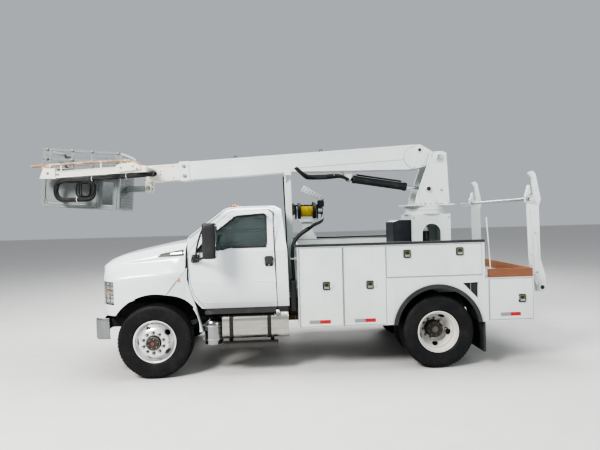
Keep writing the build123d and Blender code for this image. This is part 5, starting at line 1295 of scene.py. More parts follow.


# near-black finish: the latches' own dark frames and trim, and painted shade in holes, openings and
# recesses
blackTrimAndHollowShade = plastic("blackTrimAndHollowShadePlastic", (0.02, 0.02, 0.02), rough=0.5)
latchBrass = bareMetal("latchPaddle", (0.30, 0.32, 0.15), rough=0.34, brush=(30, 30, 30), stain=0.4)
doorTable = {1: (2040, 2652, 662, 1768), 2: (2664, 3268, 662, 1768), 3: (3284, 4660, 1322, 1768),
             4: (4757, 5402, 668, 1252)}
for word, end, way in bothSides:
    for number, (x0, x1, z0, z1) in doorTable.items():
        maker = Maker(f"lockerDoorTrim{word}{number}")
        for n, x, z in bodyFacts["latches"]:
            if n == number:
                slamLatch(maker, x, z, way)
        # folded rim of the leaf
        y = bodyFacts["face"]
        rim = rounded(oblong(x0 + 10, x1 - 10, z0 + 10, z1 - 10), 14, 4)
        maker.use(whiteBody).tube([at(a, way * (y - 0.5), b) for a, b in rim], 3.5, 8, closed=True)
        # long hinge with its knuckles, below the drop door and in front of the others
        maker.use(bareSteel)
        long, axis = (x1 - x0, (1, 0, 0)) if number == 3 else (z1 - z0, (0, 0, 1))
        for i in range(int(long / 40)):
            step = i * long / int(long / 40)
            spot = at(x0 + step * axis[0], way * (y + 2), z0 + step * axis[2])
            maker.lathe([(1, 6.6), (long / int(long / 40) - 2, 6.6)], spot, axis, 12)
        for a, b, height in bodyFacts["reflectors"]:
            if x0 < (a + b) / 2 < x1:
                middle = (a + b) / 2
                for finish, c, d in ((tapeSilver, a, middle), (tapeRed, middle, b)):
                    tape = oblong(c, d, height, height + 50)
                    maker.use(finish).sidePlate(tape, pair(way, y, y + 1.6), edge=0.5)
        piece = maker.done(f"locker_door_{end}_{number}")

bodyTrim = Maker("bodyTrimSet")
for word, end, way in bothSides:
    y = bodyFacts["face"]
    # recess behind the arch, darkened by a black plate as painted shade, with the bright grab bar
    recess = [(4384, 1204), (4598, 1211), (4594, 992)]
    bodyTrim.use(blackTrimAndHollowShade).sidePlate(recess, pair(way, 1180, 1188), edge=0)
    bodyTrim.use(brightCan).bar([(4492, way * 1206, 1206), (4492, way * 1206, 1096)], 9, 14)
    # dark sheet along the lockers' tops
    bodyTrim.use(lockerTopDark).block((2026, 4698), pair(way, 764, 1145), (1789, 1796), edge=2)
    # drip moulding above the doors and the folded lower edge
    bodyTrim.use(whiteBody)
    for x, off, z, edge in (((2026, 4700), (-2, 8), (1776, 1788), 3),
                            ((2026, 3380), (-8, 3), (645, 654), 2),
                            ((4706, 5417), (-2, 6), (1260, 1270), 3)):
        bodyTrim.block(x, pair(way, y + off[0], y + off[1]), z, edge=edge)
    # mud flap: ribs and a clamping strip
    bodyTrim.use(blackRubber)
    for i in range(9):
        yy = way * (670 + i * 64)
        bodyTrim.block((4698, 4703), (yy - 4, yy + 4), (226, 620), edge=1.5)
    bodyTrim.use(bareSteel).block((4697, 4704), pair(way, 645, 1205), (606, 636), edge=2)
    for i in range(6):
        bodyTrim.bolt(at(4703, way * (690 + i * 96), 621), (1, 0, 0), 7, 6)
piece = bodyTrim.done("chassis")

# inside the load space: tread plate floor, tie-down rings and their clips
bed = Maker("loadSpaceFittings").use(bedPlate)
for x in ((2070, 3618), (4590, 5392)):
    bed.block(x, (-756, 756), (1104.5, 1109), edge=1)
for i in range(38):
    for k in range(18):
        x = 2100 + i * 40
        y = -720 + k * 84 + (20 if i % 2 else -20)
        lean = 11 if (i + k) % 2 else -11
        bed.bar([(x - 11, y - lean, 1109), (x + 11, y + lean, 1109)], 3, 5)
bed.use(bareSteel)
for way in (-1, 1):
    for x in (2300, 2900, 3480, 4800, 5250):
        middle = at(x, way * 745, 1178)
        path = [middle + Vector((c * 0.034, -way * 0.006, s * 0.034)) for c, s in turns(20)]
        bed.tube(path, 5, 8, closed=True)
        bed.block((x - 26, x + 26), pair(way, 752, 761), (1200, 1236))
piece = bed.done("chassis")

# boards: the screws along their sides
boards = Maker("boardFastenings").use(nutSteel)
for way in (-1, 1):
    for x in (4800, 5000, 5200, 5350):
        for z in (1302, 1362):
            boards.lathe([(-1, 7), (1, 6), (2, 2)], at(x, way * 1196, z), (0, way, 0), 12)
piece = boards.done("chassis")
print("body fittings ready")

# Hoses that come down behind the cab on the left, clipped to the rear wall and the bulkhead
cabHoses = Maker("hosesBehindCab").use(hoseRubber)
for dx, dy, radius in ((0, 0, 24), (24, 40, 17), (40, 8, 17)):
    cabHoses.hose([(2590, 880, 2262), (2580, 700, 2225 - dx), (2500, 100, 2165 - dx),
                   (2330 - dx, -690 + dy, 2110 - dx), (2230 - dx, -700 + dy, 2030),
                   (2080 - dx * 0.6, -720 + dy, 1930), (1985 - dx * 0.3, -800 + dy, 1800),
                   (1965, -860 + dy, 1600), (1975, -880 + dy, 1300), (1985, -860 + dy, 1080),
                   (1990, -700 + dy, 960), (1990, -460, 900)], 8, radius, 14)
cabHoses.use(bareSteel).block((1932, 2030), (-905, -760), (1586, 1612))
cabHoses.block((1955, 2030), (-905, -760), (1176, 1200))
cabHoses.use(frameBlack).block((1922, 2004), (-1000, -740), (840, 1290), edge=14, rounds=3)
piece = cabHoses.done("chassis")

# Booms: weld seams, collar bolts, wear pads, pins and the hoses along them
slope = radians(3.2)
boomFacts = {"front": (205, 3002.5), "outerSide": 130, "innerSide": 111, "coverAt": (4062, 3150),
             "coverRadius": (186, 184), "pinAt": (4136, 3275), "grommetAt": (-454, -8)}


def onBoom(s, y, t):
    # a place along the booms: s from the outer one's front end, t up across it
    x, z = boomFacts["front"]
    return at(x + s * cos(slope) - t * sin(slope), y, z + s * sin(slope) + t * cos(slope))


def boomPlate(maker, s, t, y, edge=3):
    low, high = ([onBoom(a, side, b) for a, b in oblong(*s, *t)] for side in y)
    return maker.prism(low, high, edge)


outer = Maker("outerBoomFittings")
for way in (-1, 1):
    out = (0, way, 0)
    side = way * boomFacts["outerSide"]
    # weld bead along the top, and the lapped seam below
    outer.use(whiteBoom).tube([onBoom(60, side, 118), onBoom(3700, side, 118)], 3, 8)
    outer.use(seamShadow).tube([onBoom(1930, side, -92), onBoom(3720, side, -88)], 3, 8)
    # collar bolts at the mouth
    outer.use(bareSteel)
    for t in (-78, 78):
        outer.lathe([(0, 34), (5, 34), (8, 30)], onBoom(66, way * 138, t), out, 28)
        outer.bolt(onBoom(66, way * 143, t), out, 20, 16, washer=False)
    outer.use(whiteBoom)
    for s in (-4, 128):
        boomPlate(outer, (s, s + 7), (-150, 150), pair(way, 134, 141), edge=2)
    # round access cover on the elbow, its edge, and the boom pin's keeper
    x, z = boomFacts["coverAt"]
    a, b = boomFacts["coverRadius"]
    cover = [(x - sin(pi * i / 16) * a, z + cos(pi * i / 16) * b) for i in range(17)]
    outer.sidePlate(cover + [(4205, 2996), (4470, 3096), (4478, 3180), (4362, 3226), (4150, 3348)],
                    pair(way, boomFacts["outerSide"], 137), edge=2)
    edgeLine = [(4150, 3338)] + [(x - 3, z) for x, z in cover] + [(4205, 2993), (4330, 3040)]
    outer.use(seamShadow).tube([at(x, way * 131.5, z) for x, z in edgeLine], 3.5, 8)
    pinX, pinZ = boomFacts["pinAt"]
    outer.use(whiteBoom).lathe([(-1, 44), (5, 44), (7, 40)], at(pinX, way * 137, pinZ), out, 36)
    # dark disc in the middle of the pin: painted shade of its hole; then three small dark discs on the
    # plate
    outer.use(blackTrimAndHollowShade).lathe([(0, 27), (8.5, 27)], at(pinX, way * 137, pinZ), out, 28)
    for x, z in ((4010, 3318), (4046, 2990), (4180, 3020)):
        outer.lathe([(0, 9), (1.5, 9)], at(x, way * 137, z), out, 14)
    # lashing rings on the top edge
    for s in (900, 2300):
        path = [onBoom(s + c * 26, way * 112, 158 + d * 24) for c, d in turns(18)]
        outer.tube(path, 6, 8, closed=True)
# black hoses under the outer boom, in clips
outer.use(hoseRubber)
for dx, dy, dz in ((0, 0, 0), (26, -20, 24), (-8, 26, 22), (16, 12, 44)):
    outer.hose([(2070 + dx, -146, 3010 + dz * 0.4), (2120 + dx, -150 + dy * 0.3, 2958 + dz * 0.4),
                (2226 + dx, -138 + dy, 2858 + dz), (2300, -124 + dy, 2840 + dz),
                (2500, -112 + dy, 2838 + dz), (2680, -112 + dy, 2848 + dz),
                (2790, -112 + dy * 0.8, 2856 + dz * 0.7), (2880, -106 + dy * 0.5, 2836 + dz * 0.4),
                (2950, -96 + dy * 0.3, 2806 + dz * 0.3)], 8, 17)
outer.use(blackTrimAndHollowShade).block((2380, 2600), (-152, -74), (2822, 2898), edge=16, rounds=3)
outer.use(bareSteel)
for x in (2180, 2700):
    outer.block((x - 12, x + 12), (-152, -148), (2880, 2950), edge=1)
piece = outer.done("outer_boom")

inner = Maker("innerBoomFittings")
for way in (-1, 1):
    out = (0, way, 0)
    side = way * boomFacts["innerSide"]
    inner.use(creamBoom).tube([onBoom(-540, side, 108), onBoom(-20, side, 108)], 3, 8)
    inner.use(bareSteel)
    for s, t in ((-323, 24), (-323, -28), (-120, 96), (-120, -96)):
        inner.bolt(onBoom(s, side, t), out, 9, 7)
    inner.bolt(at(-330, way * 97, 2740), out, 26, 14)
# oval grommet where the hoses go in, on the left side, with a dark flat oval in it as painted shade of the
# opening
ovalS, ovalT = boomFacts["grommetAt"]
oval, grommetShadeOval = ([onBoom(ovalS + c * a, y, ovalT + d * b) for c, d in turns(36)]
                  for a, b, y in ((62, 30, -112), (60, 28, -113)))
inner.use(blackRubber).tube(oval, 12, 10, closed=True)
inner.use(blackTrimAndHollowShade).prism(grommetShadeOval, [p + Vector((0, 0.008, 0)) for p in grommetShadeOval], edge=0)
# end cap and wear pads at the mouth
inner.use(blackPlastic)
for t in (-134, 134):
    boomPlate(inner, (-14, 4), (t - 5, t + 5), (-90, 90), edge=2)
for y in (-114, 114):
    boomPlate(inner, (-14, 4), (-96, 96), (y - 4, y + 4), edge=2)
piece = inner.done("inner_boom")

# Lift cylinder: gland ring, ports and hard lines on the barrel, pins in the ears
liftFacts = {"barrelPin": (2957, 2835), "rodPin": (4249, 2623)}
pinX, pinZ = liftFacts["barrelPin"]
eyeX, eyeZ = liftFacts["rodPin"]
cylinder = Vector((eyeX - pinX, 0, eyeZ - pinZ)).normalized()
up = Vector((-cylinder.z, 0, cylinder.x))
start = at(pinX, 0, pinZ)
barrel = Maker("liftBarrelFittings").use(frameBlack)
barrel.lathe([(930, 63), (934, 70), (984, 70), (990, 64), (992, 36)], start, cylinder, 40, closed=False)
barrel.lathe([(74, 63), (80, 67), (120, 67), (124, 63)], start, cylinder, 40, closed=False)
barrel.use(bareSteel)
for s in (130, 900):
    barrel.lathe([(0, 16), (16, 16), (18, 13)], start + cylinder * s * 0.001 + up * 0.06, up, 6)
line = [start + cylinder * s * 0.001 + up * h * 0.001 + Vector((0, 0.018, 0))
        for s, h in ((132, 70), (150, 84), (260, 84), (700, 84), (880, 84), (898, 70))]
barrel.use(hoseRubber).tube(curved(line, 5), 14, 12)
piece = barrel.done("lift_barrel")
rodEnd = Maker("liftRodFittings").use(bareSteel)
for way in (-1, 1):
    rodEnd.lathe([(0, 44), (6, 44), (8, 40)], at(eyeX, way * 46, eyeZ), (0, way, 0), 32)
piece = rodEnd.done("lift_rod")

# Turret: ring bolts, cheek pins and gussets, hoses between the cheeks
turretFacts = {"middle": 4250, "cheek": 203, "pinAt": (4440, 3140), "base": 2368, "ringBolts": 24,
               "boltCircle": 290, "gussets": (4130, 4330, 4530), "hoseY": (-120, -84, 96, 132)}
midX, base = turretFacts["middle"], turretFacts["base"]
pinX, pinZ = turretFacts["pinAt"]
turret = Maker("turretFittings")
for way in (-1, 1):
    out = (0, way, 0)
    face = way * turretFacts["cheek"]
    turret.use(bareSteel)
    turret.lathe([(20, 40), (34, 40), (37, 34)], at(pinX, face, pinZ), out, 32)
    turret.block((pinX - 48, pinX + 48), pair(way, 224, 233), (3086, 3104))
    turret.bolt(at(4404, way * 232, 3095), out, 8, 7)
    # dark disc on the cheek at the rod's pin: painted shade of the pin hole
    turret.use(blackTrimAndHollowShade).lathe([(20, 34), (25.5, 34)], at(eyeX, face, eyeZ), out, 32)
    turret.use(bareSteel).bolt(at(4470, face, 2600), out, 16, 12)
    # doubling plate round the pin, edge flange and ribs
    turret.use(whiteBoom).lathe([(-1, 96), (5, 96), (7, 92)], at(pinX, face, pinZ), out, 48)
    plate = [(4318, 3196), (4372, 3222), (4498, 3222), (4548, 3198), (4560, 3060), (4330, 3060)]
    turret.sidePlate(rounded(plate, 20, 4), pair(way, turretFacts["cheek"], 207), edge=2)
    turret.bar([(4590, face, 2380), (4556, face, 3205)], 7, 8)
    turret.bar([(4052, face, 2470), (4316, face, 3206)], 7, 8)
    for x in turretFacts["gussets"]:
        low, high = ([at(x + d, way * y, z) for y, z in ((203, base), (300, base), (206, 2470))]
                     for d in (-6, 6))
        turret.prism(low, high, edge=1)
turret.use(nutSteel)
for c, s in turns(turretFacts["ringBolts"]):
    turret.bolt(at(midX + c * turretFacts["boltCircle"], s * turretFacts["boltCircle"], base), (0, 0, 1),
                11, 12)
turret.use(whiteBoom)
turret.lathe([(-28, 331), (-24, 336), (-4, 336), (0, 331)], at(midX, 0, 2300), (0, 0, 1), 72, closed=False)
turret.use(hoseRubber)
for k, y in enumerate(turretFacts["hoseY"]):
    turret.hose([(4170 + 12 * k, y, 2372), (4180, y, 2500), (4310 + 10 * k, y, 2680), (4470, y, 2800),
                 (4540, y, 2960), (4530, y * 0.95, 3040)], 8, 13, 10)
piece = turret.done("turret")

pedestalFacts = {"middle": 4250, "archHalf": 155, "archTop": 1900, "hoses": 5}
midX = pedestalFacts["middle"]
pedestal = Maker("pedestalFittings")
pedestal.use(whiteBody)
for sx in (-1, 1):
    for sy in (-1, 1):
        x, y = midX + sx * 312, sy * 312
        pedestal.bar([(x, y, 1110), (x, y, 2204)], 6, 8)
    for y in (-200, 0, 200):
        low, high = ([at(midX + sx * a, y + d, z) for a, z in ((311, 1106), (400, 1106), (311, 1220))]
                     for d in (-7, 7))
        pedestal.prism(low, high, edge=1)
half, top = pedestalFacts["archHalf"], pedestalFacts["archTop"]
arc = [(midX + cos(pi * i / 16) * half, top + sin(pi * i / 16) * half) for i in range(17)]
archLine = [(midX + half, 1480), (midX + half, top), *arc, (midX - half, top), (midX - half, 1480)]
for way in (-1, 1):
    pedestal.tube([at(x, way * 313, z) for x, z in archLine], 7, 8, closed=True)
    pedestal.use(bareSteel)
    for x, z in ((3965, 2150), (4535, 2150), (3965, 1300), (4535, 1300)):
        pedestal.bolt(at(x, way * 312, z), (0, way, 0), 11, 9)
    pedestal.use(whiteBody)
# rotary joint and hoses seen through the arches
pedestal.use(nutSteel).lathe([(0, 70), (260, 70), (270, 60), (420, 60)], at(midX, 0, 1500), (0, 0, 1), 32)
pedestal.use(hoseRubber)
for c, s in turns(pedestalFacts["hoses"]):
    line = [at(midX + c * r, s * r, z) for r, z in ((70, 1640), (150, 1600), (190, 1400), (170, 1130))]
    pedestal.tube(curved(line, 6), 13, 10)
piece = pedestal.done("chassis")

# Reservoir: corner beads, ribs, filler cap and the lines low on its side
tank = Maker("reservoirFittings")
tank.use(reservoirPlastic)
for way in (-1, 1):
    for x in (3648, 3922):
        tank.bar([(x, way * 250, 1110), (x, way * 250, 2086)], 5, 8)
    for z in (1300, 1560, 1820):
        tank.block((3660, 3910), pair(way, 249, 253), (z - 9, z + 9), edge=2)
tank.use(blackPlastic).lathe([(0, 52), (12, 52), (18, 46), (24, 30)], at(3860, 150, 2096), (0, 0, 1), 36)
for x in (3660, 3710, 3760):
    line = [at(x, -262, 1260), at(x - 10, -300, 1220), at(x - 20, -320, 1130)]
    tank.use(hoseRubber).tube(curved(line, 6), 15, 10)
    tank.use(nutSteel).lathe([(-4, 20), (14, 20)], at(x, -248, 1266), (0, -1, 0), 6)
piece = tank.done("chassis")

rest = Maker("boomRestFittings").use(blackRubber)
rest.block((1888, 1996), (-142, 142), (2934, 2940), edge=2)
rest.use(whiteBody)
for way in (-1, 1):
    low, high = ([at(x, way * y, z) for y, z in ((60, 2900), (146, 2900), (62, 2780))]
                 for x in (1905, 1917))
    rest.prism(low, high, edge=1)
    rest.block((1884, 2000), pair(way, 148, 158), (2900, 2968), edge=4)
rest.use(bareSteel)
for x in (1935, 1995):
    for way in (-1, 1):
        rest.bolt(at(x, way * 52, 1012), (0, 0, 1), 11, 10)
piece = rest.done("chassis")
print("boom, turret and pedestal ready")

# Winch: yellow rope on the drum, dark flanges, frame, gearbox and motor
winchFacts = {"drumAt": (900, 2330), "drum": (2190, 220), "flanges": (2134, 2412), "armLow": (2600, 2540),
              "armHigh": (2230, 2750), "armY": (872, 928), "armHoles": 7}
drumY, drumZ = winchFacts["drumAt"]
x0, long = winchFacts["drum"]
winch = Maker("winchFittings")
rope = [(x0 + i * long / 72, 105 + abs(sin(i * pi / 8)) * 7) for i in range(73)]
winch.use(yellowRope).lathe(rope, at(0, drumY, drumZ), (1, 0, 0), 48)
for x, y, z, r in ((2222, -5.6, 4, 108), (2277, 4, -3.2, 109), (2332, -2.4, 1.2, 110)):
    loop = [at(x + i * 0.9, drumY + y + cos(2 * pi * i / 40) * r, drumZ + z + sin(2 * pi * i / 40) * r)
            for i in range(41)]
    winch.tube(loop, 7, 8)
winch.use(frameBlack)
for x in winchFacts["flanges"]:
    winch.lathe([(0, 60), (0, 146), (3, 150), (51, 150), (54, 146), (54, 60)], at(x, drumY, drumZ),
                (1, 0, 0), 56)
frameParts = (
    # finish, x, y, z, softened edge and its rounds
    (frameBlack, (2082, 2106), (826, 974), (2172, 2440), 5, 2),
    (frameBlack, (2486, 2508), (826, 974), (2172, 2440), 5, 2),
    (frameBlack, (2090, 2500), (827, 849), (2418, 2440), 4, 2),
    (frameBlack, (2090, 2500), (951, 973), (2418, 2440), 4, 2),
    (frameBlack, (2508, 2624), (838, 962), (2396, 2516), 10, 3),
    (nutSteel, (2508, 2606), (850, 950), (2262, 2394), 14, 3),
    (nutSteel, (1990, 2084), (836, 964), (2250, 2470), 18, 3),
    (whiteBody, (2090, 2520), (812, 988), (2150, 2174), 4, 2),
    (whiteBody, (2150, 2450), (786, 1014), (2116, 2150), 6, 2),
)
for finish, x, y, z, edge, rounds in frameParts:
    winch.use(finish).block(x, y, z, edge, rounds)
for x in ((2200, 2120, 2200), (2400, 2480, 2400)):
    low, high = ([at(a, y, z) for a, z in zip(x, (1794, 1794, 1960))] for y in (838, 850))
    winch.prism(low, high, edge=1)
winch.use(nutSteel).lathe([(0, 70), (70, 70), (82, 60), (92, 60)], at(1992, drumY, drumZ), (1, 0, 0), 40)
for y in (850, 950):
    for z in (2270, 2450):
        winch.bolt(at(1990, y, z), (-1, 0, 0), 9, 8)
# perforated arm over the drum
armLow, armHigh = (at(x, 0, z) for x, z in (winchFacts["armLow"], winchFacts["armHigh"]))
armWay = (armHigh - armLow).normalized()
armUp = Vector((-armWay.z, 0, armWay.x)) * -1
outline = [armLow - armUp * 0.042, armHigh - armUp * 0.058, armHigh + armUp * 0.058, armLow + armUp * 0.042]
winch.use(whiteBody)
for y in winchFacts["armY"]:
    low, high = ([p + Vector((0, (y + d) * 0.001, 0)) for p in outline] for d in (-4, 4))
    winch.prism(low, high, edge=2)
# the arm's holes are dark rods through it: painted shade inside them
winch.use(blackTrimAndHollowShade)
for i in range(winchFacts["armHoles"]):
    middle = armLow + armWay * (0.04 + i * 0.058)
    for side in (-1, 1):
        winch.lathe([(-34, 9), (34, 9)], middle + armUp * side * 0.02 + Vector((0, 0.9, 0)), (0, 1, 0), 14)
winch.use(frameBlack)
for x, z in ((2600, 2516), (2420, 2440)):
    winch.block((x - 16, x + 16), (880, 920), (z - 60, z + 50), edge=4)
line = ((1868, -30, 2890), (1874, -52, 2600), (1890, -58, 2200), (1902, -58, 1500), (1906, -58, 1060))
winch.use(hoseRubber).tube([at(*p) for p in line], 11, 10)
piece = winch.done("chassis")

# Platform: rim, rail clamps, borders of the recesses, floor treads and controls
tubFacts = {"slope": 4.5, "corner": (-722, 2386), "long": 1192, "half": 355,
            "posts": (-1122, -740, -440, -46), "slats": 23, "treads": 9}
tubSlope = radians(tubFacts["slope"])


def inTub(u, y, t):
    # a place on the platform: u along it, t up from its floor
    x, z = tubFacts["corner"]
    return at(x + u * cos(tubSlope) + t * sin(tubSlope), y, z - u * sin(tubSlope) + t * cos(tubSlope))


def tubBlock(maker, u, y, t, edge=3, rounds=2):
    low, high = ([inTub(a, side, b) for a, b in oblong(*u, *t)] for side in y)
    return maker.prism(low, high, edge, rounds)


tubAlong = inTub(1, 0, 0) - inTub(0, 0, 0)
tubUp = inTub(0, 0, 1) - inTub(0, 0, 0)
tub = Maker("platformFittings").use(platformGrey)
half = tubFacts["half"]
rim = rounded(oblong(-tubFacts["long"], 0, -half, half), 40, 6)
for t, radius, steps in ((600, 13, 12), (14, 7, 8)):
    tub.tube([inTub(u, y, t) for u, y in rim], radius, steps, closed=True)
for way in (-1, 1):
    # recess border, door frame and ribs on the long sides
    for place, corner in (((-1130, -420, 60, 550), 120), ((-262, -86, 70, 440), 16)):
        border = rounded(oblong(*place), corner, 8)
        tub.tube([inTub(u, way * 356, t) for u, t in border], 7, 8, closed=True)
    for u in (-345, -305, -40):
        tubBlock(tub, (u - 9, u + 9), pair(way, 352, 364), (24, 590), edge=4)
    # post feet and rail clamps
    for u in tubFacts["posts"]:
        tubBlock(tub, (u - 34, u + 34), pair(way, 350, 368), (560, 640), edge=4)
        for t in (745, 890):
            tub.clamp(inTub(u, way * half, t), tubAlong, 16, 17, 20, 24)
    tub.use(bareSteel)
    for places, ups, off, size in (((-1140, -1104, -758, -722, -458, -422, -64, -28), (580, 620), 368,
                                    (8, 7)), ((-1180, -1064, -80, -12), (660, 745, 880), 361, (7, 6))):
        for u, t in [(u, t) for u in places for t in ups]:
            tub.bolt(inTub(u, way * off, t), (0, way, 0), *size)
    tub.use(platformGrey)
# dark slats on the rear face as painted shadow lines of its louvres, tread strips on the floor, controls
# with their levers, lanyard ring
tub.use(darkTreadsAndSlatShadow)
for i in range(tubFacts["slats"]):
    t = 46 + i * 23
    low, high = ([inTub(-1, y, t), inTub(7, y, t), inTub(1, y, t + 17)] for y in (-300, 300))
    tub.prism(low, high, edge=1)
for k in range(tubFacts["treads"]):
    tubBlock(tub, (-1150 + k * 122, -1110 + k * 122), (-320, 320), (16, 24), edge=2)
tub.use(blackPlastic)
tubBlock(tub, (-330, -40), (150, 330), (598, 690), edge=14, rounds=3)
tubBlock(tub, (-300, -240), (180, 230), (690, 770), edge=10, rounds=3)
tub.use(bareSteel)
for u in (-180, -140, -100):
    tub.lathe([(0, 7), (52, 7), (54, 11), (66, 11), (70, 7)], inTub(u, 260, 690), tubUp, 16)
tub.tube([inTub(-1196, c * 30, 540 + s * 30) for c, s in turns(20)], 6, 8, closed=True)
piece = tub.done("platform")

# Side arm: rusty rod, head block, sheave and the hose bundle below it
armFacts = {"rodY": -490, "rod": ((-1950, 3080), (-1511, 3105), (-916, 3131), (-512, 3142), (-400, 3122),
                                  (-290, 3058)), "eyeAt": (-1690, 2968)}
armY = armFacts["rodY"]
eyeX, eyeZ = armFacts["eyeAt"]
arm = Maker("sideArmFittings")
arm.use(rodWorn).tube(curved([at(x, armY, z) for x, z in armFacts["rod"]], 6), 19, 14)
arm.use(rustyCream)
arm.sidePlate([(-1808, 2896), (-1755, 3044), (-1596, 3038), (-1581, 2891)], (-529, -451))
arm.block((-1790, -1640), (-520, -460), (3040, 3110), edge=8, rounds=3)
arm.use(creamBoom)
arm.sidePlate(rounded([(-690, 3040), (-640, 3088), (-420, 3106), (-330, 3078), (-300, 3000), (-640, 2962)],
                      24, 5), (-548, -440), edge=14, rounds=3)
arm.bar([(-1600, -528, 2990), (-690, -528, 3044)], 5, 8)
arm.bar([(-1600, -528, 2900), (-440, -528, 2962)], 5, 8)
arm.bar([(-300, -470, 3030), (-240, -300, 3040), (-236, -112, 3040)], 30, 14)
arm.use(bareSteel)
for x, z in ((-600, 3030), (-420, 3050), (-360, 3010), (-1570, 2950), (-1540, 2948)):
    arm.bolt(at(x, -549 if x > -1000 else -526, z), (0, -1, 0), 11, 9)
arm.lathe([(-36, 46), (-30, 50), (-22, 36), (22, 36), (30, 50), (36, 46)], at(eyeX, armY, eyeZ), (0, 1, 0),
          36)
arm.use(rustySteel).bolt(at(eyeX, -528, eyeZ), (0, -1, 0), 20, 14)
arm.lathe([(0, 62), (4, 62), (6, 56)], at(eyeX, -526, eyeZ), (0, -1, 0), 32)
piece = arm.done("inner_boom")

bundleFacts = {"middle": (-1317, 2711), "half": (283, 145), "corner": 140, "hoses": 6, "radius": 14.5}
bundle = Maker("hoseBundle").use(hoseRubber)
x, z = bundleFacts["middle"]
a, b = bundleFacts["half"]
loop = rounded(oblong(x - a, x + a, z - b, z + b), bundleFacts["corner"], 12)
count = len(loop)
for k in range(bundleFacts["hoses"]):
    # six hoses wound round each other in a loop, then along the boom
    path = []
    for i, (x, z) in enumerate(loop):
        after, before = loop[(i + 1) % count], loop[i - 1]
        flow = Vector((after[0] - before[0], 0, after[1] - before[1])).normalized()
        out = Vector((flow.z, 0, -flow.x))
        a = 2 * pi * (k / bundleFacts["hoses"] + i / count)
        sway = 22 + 2 * sin(4 * pi * i / count + k)
        path.append(at(x + out.x * cos(a) * sway, armY + sin(a) * sway, z + out.z * cos(a) * sway))
    bundle.tube(path, bundleFacts["radius"], 10, closed=True)
    a = 2 * pi * k / bundleFacts["hoses"]
    c, d = cos(a) * 21, sin(a) * 21
    bundle.hose([(-1250, armY + d, 2852 + c * 0.6), (-1180, armY + d, 2858 + c),
                 (-980, armY + c * 0.8, 2880 - d), (-760, armY - d, 2898 + c), (-520, armY + d, 2908 + c),
                 (-300, -478 + d * 0.8, 2922 + c), (-190, -400 + d * 0.8, 2946 + c),
                 (-196, -240 + d * 0.6, 2972 + c * 0.8), (-246, -112 + d * 0.2, 2976 + c * 0.6)], 7,
                bundleFacts["radius"], 10)
for k in range(3):
    inner = rounded(oblong(-1300 + 46 * k, -1080, 2604, 2818), 78, 10)
    bundle.tube([at(x - 4 * k, -478 - 14 * k, z + 6 * k) for x, z in inner], 13, 10, closed=True)
bundle.use(whiteTie)
for x, z, way in ((-1050, 2872, (1, 0, 0.08)), (-535, 2907, (1, 0, 0.03)), (-1283, 2566, (1, 0, 0))):
    bundle.clamp(at(x, -490, z), way, 4, 35, 39, 28)
    bundle.block((x - 5, x + 5), (-533, -527), (z - 6, z + 6), edge=2)
    bundle.bar([(x, -530, z), (x + 6, -540, z + 26), (x + 2, -536, z + 60)], 2.5, 6)
piece = bundle.done("inner_boom", smooth=50)
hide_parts("hose_loop")

# Reel arms: edge beads, pivot bosses, levers and hooks
reelFacts = {"face": 997, "pivot": (5664, 1076), "spindle": (5492, 2392)}
pivotX, pivotZ = reelFacts["pivot"]
spindleX, spindleZ = reelFacts["spindle"]
reel = Maker("reelArmFittings")
for way in (-1, 1):
    out = (0, way, 0)
    face = way * reelFacts["face"]
    reel.use(whiteBody)
    reel.tube([at(pivotX - x, face, z) for x, z in ((128, 1300), (150, 1700), (172, 2250))], 8, 8)
    reel.lathe([(0, 62), (14, 62), (18, 56), (18, 32)], at(pivotX, face, pivotZ), out, 40)
    # dark disc in the pivot boss: painted shade of its bore
    reel.use(blackTrimAndHollowShade).lathe([(0, 31), (19.5, 31)], at(pivotX, face, pivotZ), out, 28)
    lever = [(5562, 1965), (5584, 1900), (5612, 1700), (5618, 1500), (5616, 1300), (5590, 1210),
             (5560, 1250), (5552, 1500), (5548, 1800)]
    reel.use(whiteBody).sidePlate(lever, pair(way, reelFacts["face"], 1008), edge=4)
    reel.use(bareSteel).bolt(at(5590, way * 1008, 1300), out, 12, 10)
    reel.bolt(at(5572, way * 1008, 1880), out, 8, 7)
    reel.lathe([(0, 46), (9, 46), (12, 40)], at(spindleX, face, spindleZ), out, 32)
    for a in range(3):
        reel.bolt(at(spindleX + cos(a * 2.1) * 30, way * 1008, spindleZ + sin(a * 2.1) * 30), out, 5, 5)
    # slotted handle at the far end of the spindle
    if way > 0:
        reel.use(whiteBody)
        handle = rounded(oblong(5290, 5530, 2342, 2394), 25, 8)
        reel.tube([at(x, 1022, z) for x, z in handle], 9, 12, closed=True)
        reel.block((5470, 5520), (990, 1022), (2340, 2396), edge=4)
    hook = ((5492, 2426), (5492, 2460), (5520, 2470), (5530, 2440))
    reel.use(rustySteel).tube(curved([at(x, way * 1030, z) for x, z in hook], 6), 4, 8)
    reel.use(bareSteel)
    for z in (1400, 1560, 2180):
        reel.bolt(at(pivotX - 150 - (z - 1400) * 0.02, face, z), out, 9, 8)
piece = reel.done("reel_arms")
pole = Maker("tailPole").use(whiteBody)
pole.bar([(4818, -1150, 1300), (4810, -1150, 1480), (4770, -1146, 2140)], 9)
pole.block((4796, 4842), (-1180, -1136), (1296, 1330), edge=4)
piece = pole.done("chassis")
print("winch, platform, hoses and reel arms ready")

# Floor, light and camera
stageFacts = {"floorHalf": 60.0, "skyColour": (0.86, 0.90, 0.95), "skyStrength": 0.5,
              "floorColour": (0.66, 0.65, 0.63)}

r = Recipe("paleFloor")
speck = r.noise(3.0, 6, 0.6)
paleFloor = r.shade(Base_Color=r.blend(speck.ramp(0.3, 0.7), stageFacts["floorColour"],
                                       tuple(c * 0.96 for c in stageFacts["floorColour"])),
                    Roughness=0.85 + speck * 0.1)
floor = Maker("floor").use(paleFloor)
half = stageFacts["floorHalf"]
floor.faces([Vector((x, y, 0)) for x, y in oblong(-half, half, -half, half)], [(0, 1, 2, 3)])
floorPiece = floor.done(None)

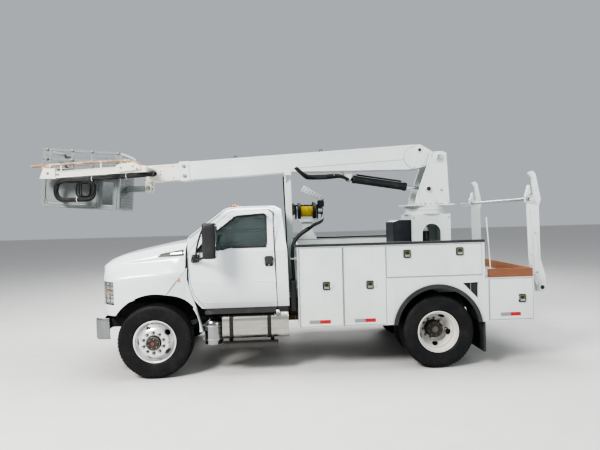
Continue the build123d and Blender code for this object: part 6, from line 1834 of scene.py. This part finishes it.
world = bpy.data.worlds.new("paleStudio")
bpy.context.scene.world = world
world.use_nodes = True
sky = world.node_tree.nodes["Background"].inputs
sky[0].default_value = (*stageFacts["skyColour"], 1)
sky[1].default_value = stageFacts["skyStrength"]

lampTable = (
    # name, place, aimed at, size, watts, colour
    ("keyLight", (-7.0, -8.0, 9.5), (0, 0, 1.4), 4.0, 2100, (1.0, 0.985, 0.96)),
    ("fillLight", (8.0, -8.0, 4.5), (0.5, 0, 1.4), 6.0, 320, (0.94, 0.97, 1.0)),
    ("topLight", (0.0, 0.5, 11.0), (0, 0, 0), 7.0, 1050, (0.98, 0.99, 1.0)),
    ("backLight", (2.0, 10.0, 6.0), (0, 0, 1.5), 5.0, 500, (1.0, 1.0, 1.0)),
)
for name, place, aim, size, watts, colour in lampTable:
    data = bpy.data.lights.new(name, "AREA")
    data.size, data.energy, data.color = size, watts, colour
    lamp = bpy.data.objects.new(name, data)
    bpy.context.scene.collection.objects.link(lamp)
    lamp.location = place
    lamp.rotation_euler = (Vector(aim) - Vector(place)).to_track_quat("-Z", "Y").to_euler()

cameraFacts = {"place": (1776.4, -7513.4, 2200.0), "yaw": 0.0467, "pitch": -0.016, "roll": 0.026,
               "lens": 27.0}
yaw, pitch, roll = (cameraFacts[key] for key in ("yaw", "pitch", "roll"))
forward = Vector((sin(yaw) * cos(pitch), cos(yaw) * cos(pitch), sin(pitch)))
right = Vector((cos(yaw), -sin(yaw), 0))
up = right.cross(forward)
turnedRight = right * cos(roll) - up * sin(roll)
turnedUp = right * sin(roll) + up * cos(roll)
data = bpy.data.cameras.new("photoCamera")
data.lens, data.sensor_width = cameraFacts["lens"], 36
camera = bpy.data.objects.new("photoCamera", data)
bpy.context.scene.collection.objects.link(camera)
place = at(*cameraFacts["place"])
axes = zip(turnedRight, turnedUp, -forward, place)
camera.matrix_world = Matrix((*axes, (0, 0, 0, 1)))
bpy.context.scene.camera = camera
view = bpy.context.scene.view_settings
view.view_transform = "AgX"
view.look = "AgX - High Contrast"
view.exposure = -0.22
print("floor, light and camera ready")
